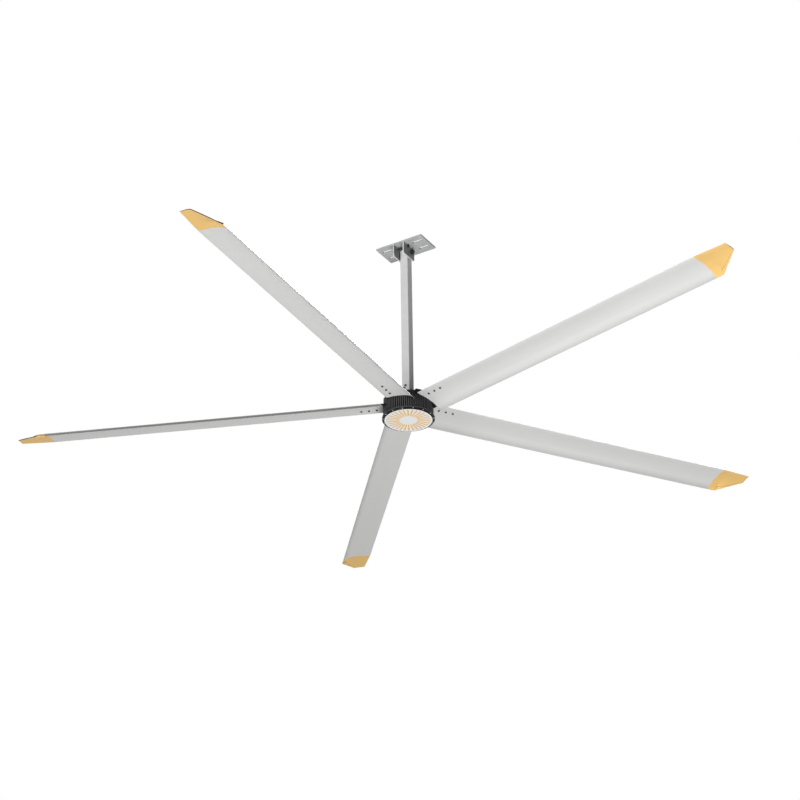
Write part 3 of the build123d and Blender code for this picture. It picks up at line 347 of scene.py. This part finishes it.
def blade_paint(colour, number):
    """Satin paint with faint draw lines along the blade, and painted shade on the sideways faces
    round its nose and tail.
    """
    turn = BLADE_TURNS[number]
    finish = Finish(f"blade_paint_{number}")
    along = finish.place(turn, (0.02, 1.0, 1.0))
    lines = finish.noise(along, size=0.006, detail=4.0)
    clouds = finish.noise(finish.place(turn, (0.4, 1.0, 1.0)), size=0.16, detail=3.0)
    peel = finish.noise(finish.place(turn), size=0.0012, detail=1.0)
    toned = finish.blend(clouds, shade(colour, 0.955), shade(colour, 1.03))
    lined = finish.levels(lines, 0.35, 0.7, 0.0, 0.35)
    painted = finish.blend(lined, toned, shade(colour, 0.93))
    # Painted shade on the faces turned sideways, round the nose and the tail
    nose = finish.node("ShaderNodeMath", operation="MULTIPLY")
    finish.join(finish.facing("Z", -0.92, -0.15), nose.inputs[0])
    finish.join(finish.facing("Z", 0.88, 0.66), nose.inputs[1])
    edge_shaded = finish.blend(nose.outputs["Value"], painted, shade(colour, BLADE_EDGE_SHADE))
    finish.join(edge_shaded, finish.shader.inputs["Base Color"])
    finish.join(finish.levels(clouds, 0.3, 0.7, 0.36, 0.46), finish.shader.inputs["Roughness"])
    finish.relief(peel, depth=0.00004, strength=0.12)
    finish.relief(lines, depth=0.00005, strength=0.12)
    finish.set(specular_ior_level=0.2)
    return finish


def gold_paint(colour, number):
    """Golden paint with fine metal flakes over moulded plastic, and painted shade on its upright
    walls.
    """
    turn = BLADE_TURNS[number]
    finish = Finish(f"cap_paint_{number}")
    place = finish.place(turn)
    flakes = finish.cells(place, size=0.0009).outputs["Color"]
    spark = finish.node("ShaderNodeSeparateColor")
    finish.join(flakes, spark.inputs["Color"])
    clouds = finish.noise(place, size=0.07, detail=3.0)
    grain = finish.noise(place, size=0.0007, detail=2.0)
    toned = finish.blend(clouds, shade(colour, 0.95), shade(colour, 1.03))
    share = finish.levels(spark.outputs["Red"], 0.55, 1.0, 0.0, 0.18)
    sparkled = finish.blend(share, toned, GOLD_FLAKE)
    rubbed = finish.blend(finish.worn_edges(width=0.0010), sparkled, GOLD_RUBBED)
    # Painted shade in dark brown on the upright walls
    upright_wall = finish.facing("Z", 0.12, 0.04, both_ways=True)
    wall_shaded = finish.blend(upright_wall, rubbed, GOLD_WALL_SHADE)
    finish.join(wall_shaded, finish.shader.inputs["Base Color"])
    finish.join(finish.levels(grain, 0.3, 0.7, 0.40, 0.52), finish.shader.inputs["Roughness"])
    finish.relief(grain, depth=0.00003, strength=0.12)
    finish.set(metallic=0.05, specular_ior_level=0.25)
    return finish


def powder_coat(name, colour, grain_size=0.0016, roughness=(0.38, 0.5)):
    """Powder coat with a fine leathery grain, rubbed lighter along its edges."""
    finish = Finish(name)
    place = finish.place()
    grain = finish.noise(place, grain_size, detail=2.0, roughness=0.6)
    clouds = finish.noise(place, size=0.05, detail=4.0)
    toned = finish.blend(clouds, shade(colour, 0.8), shade(colour, 1.25))
    rubs = finish.node("ShaderNodeMath", operation="MULTIPLY")
    finish.join(finish.worn_edges(width=0.0009), rubs.inputs[0])
    finish.join(finish.levels(clouds, 0.35, 0.65, 0.25, 0.9), rubs.inputs[1])
    rubbed = finish.blend(rubs.outputs["Value"], toned, COAT_RUBBED)
    finish.join(rubbed, finish.shader.inputs["Base Color"])
    finish.join(finish.levels(clouds, 0.3, 0.7, *roughness), finish.shader.inputs["Roughness"])
    finish.relief(grain, depth=0.00012, strength=0.5)
    finish.set(specular_ior_level=0.1)
    return finish


def finned_coat(name, colour):
    """Black coat on cast fins, with a grey highlight painted along the crests, and black down in
    the gaps.
    """
    finish = Finish(name)
    place = finish.place()
    grain = finish.noise(place, size=0.0014, detail=2.0, roughness=0.6)
    clouds = finish.noise(place, size=0.05, detail=4.0)
    toned = finish.blend(clouds, shade(colour, 0.8), shade(colour, 1.25))
    # Painted highlight in grey along the crests
    crests = finish.levels(finish.reach(place), *FIN_CREST, 0.0, 1.0)
    crest_highlighted = finish.blend(crests, toned, FIN_CREST_HIGHLIGHT)
    rubbed = finish.blend(finish.worn_edges(width=0.0005), crest_highlighted, FIN_RUBBED)
    finish.join(rubbed, finish.shader.inputs["Base Color"])
    finish.join(finish.levels(clouds, 0.3, 0.7, 0.32, 0.44), finish.shader.inputs["Roughness"])
    finish.relief(grain, depth=0.00012, strength=0.5)
    finish.set(specular_ior_level=0.1)
    return finish


def sprayed_steel(name, colour):
    """Light paint sprayed on rolled steel, with orange peel and a few dull rubs."""
    finish = Finish(name)
    place = finish.place()
    peel = finish.noise(place, size=0.0016, detail=1.5)
    clouds = finish.noise(place, size=0.06, detail=5.0, roughness=0.6)
    rubs = finish.noise(finish.place(stretch=(1.0, 1.0, 0.06)), size=0.004, detail=4.0)
    toned = finish.blend(clouds, shade(colour, 0.93), shade(colour, 1.05))
    darkened = finish.blend(finish.levels(rubs, 0.6, 0.8, 0.0, 0.35), toned, shade(colour, 0.82))
    worn = finish.blend(finish.worn_edges(width=0.0008), darkened, shade(colour, 0.72))
    finish.join(worn, finish.shader.inputs["Base Color"])
    finish.join(finish.levels(rubs, 0.4, 0.8, 0.38, 0.55), finish.shader.inputs["Roughness"])
    finish.relief(peel, depth=0.00008, strength=0.45)
    finish.set(specular_ior_level=0.15)
    return finish


def zinc_sheet(name, colour, side_shade_tone, both_ways=False):
    """Galvanised sheet with soft spangles, and painted shade on the faces turned to +X.

    With both_ways the faces turned to -X have the painted shade too.
    """
    finish = Finish(name)
    place = finish.place()
    spangle = finish.cells(place, size=0.011)
    tones = finish.node("ShaderNodeSeparateColor")
    finish.join(spangle.outputs["Color"], tones.inputs["Color"])
    clouds = finish.noise(place, size=0.05, detail=4.0)
    grain = finish.noise(place, size=0.0012, detail=2.0)
    patches = finish.blend(tones.outputs["Red"], shade(colour, 0.84), shade(colour, 1.10))
    toned = finish.blend(finish.levels(clouds, 0.3, 0.7, 0.0, 0.5), patches, shade(colour, 0.84))
    # Painted shade on the faces turned to +X, and to -X too with both_ways
    shaded_side = finish.facing("X", 0.5, 0.8, both_ways=both_ways)
    darkened = finish.blend(shaded_side, toned, shade(colour, side_shade_tone))
    worn = finish.blend(finish.worn_edges(width=0.0010), darkened, shade(colour, 1.15))
    finish.join(worn, finish.shader.inputs["Base Color"])
    dullness = finish.levels(tones.outputs["Green"], 0.0, 1.0, 0.38, 0.54)
    finish.join(dullness, finish.shader.inputs["Roughness"])
    finish.relief(grain, depth=0.00006, strength=0.5)
    finish.set(metallic=0.1, specular_ior_level=0.3)
    return finish


# Metal, plastic and rubber finishes


def worked_metal(name, colour, roughness=(0.22, 0.36), stretch=(1.0, 1.0, 0.05)):
    """Bare metal with tool marks that run round the piece."""
    finish = Finish(name)
    lines = finish.noise(finish.place(stretch=stretch), size=0.0012, detail=5.0)
    clouds = finish.noise(finish.place(), size=0.03, detail=4.0)
    toned = finish.blend(clouds, shade(colour, 0.82), shade(colour, 1.08))
    lined = finish.blend(finish.levels(lines, 0.45, 0.75, 0.0, 0.5), toned, shade(colour, 0.75))
    finish.join(lined, finish.shader.inputs["Base Color"])
    finish.join(finish.levels(lines, 0.3, 0.7, *roughness), finish.shader.inputs["Roughness"])
    finish.relief(lines, depth=0.00003, strength=0.4)
    finish.set(metallic=1.0)
    return finish


def oxide_steel(name, colour):
    """Blackened steel with an oily brown bloom and bright corners."""
    finish = Finish(name)
    place = finish.place()
    clouds = finish.noise(place, size=0.006, detail=5.0, roughness=0.6)
    grain = finish.noise(place, size=0.0006, detail=2.0)
    bloom = finish.blend(clouds, shade(colour, 0.75), OXIDE_BLOOM)
    bright = finish.blend(finish.worn_edges(width=0.0005), bloom, OXIDE_RUBBED)
    finish.join(bright, finish.shader.inputs["Base Color"])
    finish.join(finish.levels(clouds, 0.3, 0.7, 0.34, 0.52), finish.shader.inputs["Roughness"])
    finish.relief(grain, depth=0.00003, strength=0.5)
    finish.set(metallic=0.75)
    return finish


def stacked_sheets(name, colour):
    """Edges of thin steel sheets pressed into a stack, with thin dark joints."""
    finish = Finish(name)
    place = finish.place()
    sheets = finish.node("ShaderNodeTexWave", wave_type="BANDS", bands_direction="Z")
    sheets.inputs["Scale"].default_value = 160.0
    sheets.inputs["Distortion"].default_value = 0.0
    finish.join(place, sheets.inputs["Vector"])
    clouds = finish.noise(place, size=0.02, detail=4.0)
    toned = finish.blend(clouds, shade(colour, 0.8), shade(colour, 1.15))
    gaps = finish.levels(sheets.outputs["Fac"], 0.0, 0.3, 0.7, 0.0)
    striped = finish.blend(gaps, toned, shade(colour, 0.35))
    finish.join(striped, finish.shader.inputs["Base Color"])
    finish.join(finish.levels(clouds, 0.3, 0.7, 0.42, 0.6), finish.shader.inputs["Roughness"])
    finish.relief(sheets.outputs["Fac"], depth=0.0001, strength=0.6)
    finish.set(metallic=0.85)
    return finish


def wound_wire(name, colour):
    """Enamelled copper wire wound in close turns, with painted shade in the gaps between them."""
    finish = Finish(name)
    place = finish.place()
    turns = finish.node("ShaderNodeTexWave", wave_type="BANDS", bands_direction="Z")
    turns.inputs["Scale"].default_value = 190.0
    turns.inputs["Distortion"].default_value = 1.2
    turns.inputs["Detail"].default_value = 1.0
    finish.join(place, turns.inputs["Vector"])
    clouds = finish.noise(place, size=0.012, detail=3.0)
    toned = finish.blend(clouds, shade(colour, 0.78), shade(colour, 1.12))
    # Painted shade in the gaps between the turns
    gaps = finish.levels(turns.outputs["Fac"], 0.0, 0.45, 0.85, 0.0)
    wound = finish.blend(gaps, toned, WIRE_GAP_SHADE)
    finish.join(wound, finish.shader.inputs["Base Color"])
    finish.join(finish.levels(clouds, 0.3, 0.7, 0.22, 0.34), finish.shader.inputs["Roughness"])
    finish.relief(turns.outputs["Fac"], depth=0.0004, strength=0.8)
    finish.set(metallic=0.85, coat_weight=0.4)
    return finish


def moulded(name, colour, roughness=(0.42, 0.55), sheen=0.0):
    """Moulded plastic or rubber with a fine matt grain."""
    finish = Finish(name)
    place = finish.place()
    grain = finish.noise(place, size=0.0009, detail=2.0)
    clouds = finish.noise(place, size=0.02, detail=4.0)
    toned = finish.blend(clouds, shade(colour, 0.86), shade(colour, 1.1))
    finish.join(toned, finish.shader.inputs["Base Color"])
    finish.join(finish.levels(grain, 0.3, 0.7, *roughness), finish.shader.inputs["Roughness"])
    finish.relief(grain, depth=0.00008, strength=0.4)
    finish.set(sheen_weight=sheen)
    return finish


def glazed_disc(name, colour):
    """Smooth white enamel with a faint lavender tone and a clear coat."""
    finish = Finish(name)
    place = finish.place()
    clouds = finish.noise(place, size=0.05, detail=4.0)
    peel = finish.noise(place, size=0.0022, detail=1.0)
    toned = finish.blend(clouds, shade(colour, 0.975), shade(colour, 1.02))
    finish.join(toned, finish.shader.inputs["Base Color"])
    finish.join(finish.levels(clouds, 0.3, 0.7, 0.26, 0.36), finish.shader.inputs["Roughness"])
    finish.relief(peel, depth=0.00004, strength=0.3)
    finish.set(coat_weight=0.3, coat_roughness=0.12)
    return finish


def ray_enamel(name, colour):
    """Golden enamel that goes from amber near the middle to orange at the rim."""
    finish = Finish(name)
    place = finish.place()
    clouds = finish.noise(place, size=0.02, detail=3.0)
    peel = finish.noise(place, size=0.0018, detail=1.0)
    outward = finish.levels(finish.reach(place), *RAY_SPAN, 0.0, 1.0)
    rayed = finish.blend(outward, shade(colour, 1.06), shade(colour, 0.94))
    toned = finish.blend(finish.levels(clouds, 0.3, 0.7, 0.0, 0.4), rayed, shade(colour, 0.9))
    finish.join(toned, finish.shader.inputs["Base Color"])
    finish.join(finish.levels(clouds, 0.3, 0.7, 0.28, 0.38), finish.shader.inputs["Roughness"])
    finish.relief(peel, depth=0.00003, strength=0.3)
    finish.set(coat_weight=0.3, coat_roughness=0.12)
    return finish


# Operators, one for each group of pieces


class FAN_OT_bracket(bpy.types.Operator):
    """Finish the ceiling plate, its ears and the welds between them."""

    bl_idname = "fan.bracket"
    bl_label = "Ceiling bracket"

    def execute(self, context):
        paint = context.scene.fan_paint
        zinc = tuple(paint.bracket)
        # The plate with painted shade on its faces turned to +X
        give(zinc_sheet("bracket_zinc", zinc, PLATE_SIDE_SHADE), "ceiling_plate")
        # The ears painted lighter than the plate as a painted highlight, with painted shade on
        # their faces turned to +X and -X
        give(
            zinc_sheet("ear_zinc", shade(zinc, EAR_PAINTED_LIGHT), EAR_SIDE_SHADE, both_ways=True),
            "ear_left",
            "ear_right",
            "ear_welds",
        )
        return {"FINISHED"}


class FAN_OT_bracket_bolts(bpy.types.Operator):
    """Finish the pivot bolt and the stop bolt with their nuts and washers."""

    bl_idname = "fan.bracket_bolts"
    bl_label = "Bracket bolts"

    def execute(self, context):
        metal = context.scene.fan_metal
        oxide = oxide_steel("bracket_oxide", tuple(metal.blackened))
        give(oxide, "pivot_bolt", "pivot_nut", "pivot_washers", "stop_bolt", "stop_nut")
        return {"FINISHED"}


class FAN_OT_downrod(bpy.types.Operator):
    """Finish the square downrod, its bush, its gland and its bolts."""

    bl_idname = "fan.downrod"
    bl_label = "Downrod"

    def execute(self, context):
        paint = context.scene.fan_paint
        metal = context.scene.fan_metal
        give(sprayed_steel("downrod_paint", tuple(paint.downrod)), "downrod_tube")
        give(moulded("bush_plastic", BUSH_WHITE), "pivot_bush")
        give(powder_coat("adapter_black", tuple(paint.arm)), "shaft_adapter")
        give(
            oxide_steel("cross_oxide", tuple(metal.blackened)),
            "cross_bolts",
            "cross_nuts",
            "adapter_grub_screws",
        )
        give(moulded("gland_plastic", GLAND_BLACK), "cable_gland")
        return {"FINISHED"}


class FAN_OT_motor_inside(bpy.types.Operator):
    """Finish the shaft, bearings, stator and magnets inside the drum."""

    bl_idname = "fan.motor_inside"
    bl_label = "Inside of the motor"

    def execute(self, context):
        metal = context.scene.fan_metal
        give(worked_metal("shaft_steel", tuple(metal.steel)), "motor_shaft")
        give(worked_metal("locknut_steel", tuple(metal.zinc), (0.3, 0.42)), "shaft_locknut")
        give(
            worked_metal("bearing_steel", tuple(metal.bearing), (0.12, 0.2)),
            "bearing_upper_inner",
            "bearing_lower_inner",
            "bearing_upper_outer",
            "bearing_lower_outer",
            "bearing_upper_balls",
            "bearing_lower_balls",
        )
        give(worked_metal("carrier_aluminium", tuple(metal.aluminium)), "stator_carrier")
        give(stacked_sheets("core_sheets", tuple(metal.core)), "stator_core")
        give(wound_wire("coil_wire", tuple(metal.copper)), "stator_coils")
        give(worked_metal("magnet_nickel", tuple(metal.magnet), (0.3, 0.4)), "magnets")
        give(moulded("seal_rubber", SEAL_BLACK, (0.6, 0.75), sheen=0.2), "shaft_seal")
        return {"FINISHED"}


class FAN_OT_drum(bpy.types.Operator):
    """Finish the finned drum, its covers, its trim ring and their screws."""

    bl_idname = "fan.drum"
    bl_label = "Motor drum"

    def execute(self, context):
        paint = context.scene.fan_paint
        metal = context.scene.fan_metal
        black = tuple(paint.drum)
        give(finned_coat("drum_coat", black), "motor_drum")
        give(powder_coat("cover_coat", black, 0.0014, (0.34, 0.46)), "top_cover", "bottom_cover")
        give(powder_coat("trim_coat", black, 0.0010, (0.26, 0.38)), "trim_ring")
        give(oxide_steel("cover_oxide", tuple(metal.blackened)), "cover_screws")
        give(
            worked_metal("trim_zinc", tuple(metal.zinc), (0.28, 0.4), (1.0, 1.0, 1.0)),
            "trim_screws",
        )
        return {"FINISHED"}


class FAN_OT_front_disc(bpy.types.Operator):
    """Finish the white disc under the drum and the golden rays set into it."""

    bl_idname = "fan.front_disc"
    bl_label = "Front disc"

    def execute(self, context):
        paint = context.scene.fan_paint
        give(glazed_disc("disc_enamel", tuple(paint.disc)), "front_disc")
        give(ray_enamel("ray_enamel", tuple(paint.ray)), "sun_rays")
        return {"FINISHED"}


class FAN_OT_blade_arms(bpy.types.Operator):
    """Finish the cast blade arms and the bolts that hold them."""

    bl_idname = "fan.blade_arms"
    bl_label = "Blade arms"

    def execute(self, context):
        paint = context.scene.fan_paint
        metal = context.scene.fan_metal
        arm_finish = powder_coat("arm_coat", tuple(paint.arm), 0.0018, (0.40, 0.52))
        give(arm_finish, *(f"blade_arm_{number}" for number in BLADE_TURNS))
        give(oxide_steel("arm_bolt_oxide", tuple(metal.blackened)), "arm_bolts")
        return {"FINISHED"}


class FAN_OT_blades(bpy.types.Operator):
    """Finish the five blades and the bolts under their roots."""

    bl_idname = "fan.blades"
    bl_label = "Blades"

    def execute(self, context):
        paint = context.scene.fan_paint
        metal = context.scene.fan_metal
        for number in BLADE_TURNS:
            give(blade_paint(tuple(paint.blade), number), f"blade_{number}")
        give(oxide_steel("blade_bolt_oxide", tuple(metal.blackened)), "blade_bolts")
        return {"FINISHED"}


class FAN_OT_tip_caps(bpy.types.Operator):
    """Finish the five golden tip caps and their screws."""

    bl_idname = "fan.tip_caps"
    bl_label = "Tip caps"

    def execute(self, context):
        paint = context.scene.fan_paint
        metal = context.scene.fan_metal
        for number in BLADE_TURNS:
            give(gold_paint(tuple(paint.cap), number), f"tip_cap_{number}")
        give(
            worked_metal("cap_zinc", tuple(metal.zinc), (0.28, 0.4), (1.0, 1.0, 1.0)),
            "cap_screws",
        )
        return {"FINISHED"}


# Stage


def seen_share(tree):
    """1 for what the camera sees, straight or in a glossy surface or through glass, else 0."""
    path = tree.nodes.new("ShaderNodeLightPath")
    share = path.outputs["Is Camera Ray"]
    for ray in ("Is Glossy Ray", "Is Transmission Ray"):
        larger = tree.nodes.new("ShaderNodeMath")
        larger.operation = "MAXIMUM"
        tree.links.new(share, larger.inputs[0])
        tree.links.new(path.outputs[ray], larger.inputs[1])
        share = larger.outputs["Value"]
    return share


def white_world(strength):
    """Even light from all round, which is plain white where it is seen."""
    world = bpy.data.worlds.new("white_room")
    world.use_nodes = True
    tree = world.node_tree
    tree.nodes.clear()
    room = tree.nodes.new("ShaderNodeBackground")
    room.inputs["Color"].default_value = WHITE
    room.inputs["Strength"].default_value = strength
    white = tree.nodes.new("ShaderNodeBackground")
    white.inputs["Color"].default_value = WHITE
    white.inputs["Strength"].default_value = 1.0
    mixed = tree.nodes.new("ShaderNodeMixShader")
    output = tree.nodes.new("ShaderNodeOutputWorld")
    tree.links.new(seen_share(tree), mixed.inputs["Fac"])
    tree.links.new(room.outputs["Background"], mixed.inputs[1])
    tree.links.new(white.outputs["Background"], mixed.inputs[2])
    tree.links.new(mixed.outputs["Shader"], output.inputs["Surface"])
    bpy.context.scene.world = world


def pale_floor(drop, side):
    """A plain grey floor far under the fan, with a glow that makes it white where it is seen."""
    mesh = bpy.data.meshes.new("floor")
    half = side / 2
    corners = [(-half, -half, 0), (half, -half, 0), (half, half, 0), (-half, half, 0)]
    mesh.from_pydata(corners, [], [(0, 1, 2, 3)])
    floor = bpy.data.objects.new("floor", mesh)
    floor.location = (0, 0, -drop)
    bpy.context.scene.collection.objects.link(floor)
    material = bpy.data.materials.new("floor_pale")
    material.use_nodes = True
    tree = material.node_tree
    tree.nodes.clear()
    pale = tree.nodes.new("ShaderNodeBsdfDiffuse")
    pale.inputs["Color"].default_value = FLOOR_GREY
    lift = tree.nodes.new("ShaderNodeMath")
    lift.operation = "MULTIPLY"
    lift.inputs[1].default_value = FLOOR_GLOW
    tree.links.new(seen_share(tree), lift.inputs[0])
    glow = tree.nodes.new("ShaderNodeEmission")
    tree.links.new(lift.outputs["Value"], glow.inputs["Strength"])
    both = tree.nodes.new("ShaderNodeAddShader")
    output = tree.nodes.new("ShaderNodeOutputMaterial")
    tree.links.new(pale.outputs["BSDF"], both.inputs[0])
    tree.links.new(glow.outputs["Emission"], both.inputs[1])
    tree.links.new(both.outputs["Shader"], output.inputs["Surface"])
    mesh.materials.append(material)


def link_lamp(name, lamp, place, towards):
    """Hang a lamp at a place, turned so that it shines in one direction."""
    holder = bpy.data.objects.new(name, lamp)
    holder.location = place
    holder.rotation_euler = Vector(towards).to_track_quat("-Z", "Y").to_euler()
    bpy.context.scene.collection.objects.link(holder)


def soft_light(name, towards, strength, softness):
    """A very soft far lamp that shines in one direction."""
    lamp = bpy.data.lights.new(name, "SUN")
    lamp.energy = strength
    lamp.angle = softness
    link_lamp(name, lamp, (0.0, 0.0, 0.0), towards)


def wide_lamp(name, place, aim, power, side):
    """A wide square lamp at a place, which shines at the point aimed at."""
    lamp = bpy.data.lights.new(name, "AREA")
    lamp.shape = "SQUARE"
    lamp.size = side
    lamp.energy = power
    link_lamp(name, lamp, place, Vector(aim) - Vector(place))


class FAN_OT_stage(bpy.types.Operator):
    """Set the pale floor, the soft light and the camera."""

    bl_idname = "fan.stage"
    bl_label = "Stage"

    def execute(self, context):
        stage = context.scene.fan_stage
        context.scene.view_settings.view_transform = "Standard"
        camera_data = bpy.data.cameras.new("camera")
        camera_data.sensor_width = SENSOR_WIDTH
        camera_data.lens = stage.camera_lens
        camera_data.clip_end = VIEW_REACH
        camera = bpy.data.objects.new("camera", camera_data)
        camera.location = stage.camera_place
        camera.rotation_euler = Euler(stage.camera_turn, "XYZ")
        context.scene.collection.objects.link(camera)
        context.scene.camera = camera
        white_world(stage.room_light)
        pale_floor(stage.floor_drop, stage.floor_side)
        soft_light("back_lamp", BACK_LAMP_TOWARDS, stage.back_light, BACK_LAMP_SOFTNESS)
        wide_lamp(
            "front_lamp",
            stage.front_lamp_place,
            FRONT_LAMP_AIM,
            stage.front_light,
            stage.front_lamp_side,
        )
        wide_lamp(
            "floor_lamp",
            stage.floor_lamp_place,
            FLOOR_LAMP_AIM,
            stage.floor_light,
            stage.floor_lamp_side,
        )
        return {"FINISHED"}


# Sidebar panel

STEPS = (
    FAN_OT_stage,
    FAN_OT_bracket,
    FAN_OT_bracket_bolts,
    FAN_OT_downrod,
    FAN_OT_motor_inside,
    FAN_OT_drum,
    FAN_OT_front_disc,
    FAN_OT_blade_arms,
    FAN_OT_blades,
    FAN_OT_tip_caps,
)


class FAN_PT_sidebar(bpy.types.Panel):
    """Lists the settings and the steps of the fan."""

    bl_idname = "FAN_PT_sidebar"
    bl_label = "Ceiling fan"
    bl_space_type = "VIEW_3D"
    bl_region_type = "UI"
    bl_category = TAB

    def draw(self, context):
        scene = context.scene
        for title, group in (
            ("Paint", scene.fan_paint),
            ("Metal", scene.fan_metal),
            ("Stage", scene.fan_stage),
        ):
            box = self.layout.box()
            box.label(text=title)
            for name in type(group).__annotations__:
                box.prop(group, name)
        for step in STEPS:
            self.layout.operator(step.bl_idname)


CLASSES = (FanPaintSettings, FanMetalSettings, FanStageSettings, *STEPS, FAN_PT_sidebar)


def register():
    for cls in CLASSES:
        bpy.utils.register_class(cls)
    bpy.types.Scene.fan_paint = PointerProperty(type=FanPaintSettings)
    bpy.types.Scene.fan_metal = PointerProperty(type=FanMetalSettings)
    bpy.types.Scene.fan_stage = PointerProperty(type=FanStageSettings)


def unregister():
    del bpy.types.Scene.fan_stage
    del bpy.types.Scene.fan_metal
    del bpy.types.Scene.fan_paint
    for cls in reversed(CLASSES):
        bpy.utils.unregister_class(cls)


def main():
    register()
    bpy.ops.fan.stage()
    bpy.ops.fan.bracket()
    bpy.ops.fan.bracket_bolts()
    bpy.ops.fan.downrod()
    bpy.ops.fan.motor_inside()
    bpy.ops.fan.drum()
    bpy.ops.fan.front_disc()
    bpy.ops.fan.blade_arms()
    bpy.ops.fan.blades()
    bpy.ops.fan.tip_caps()


if __name__ == "__main__":
    main()
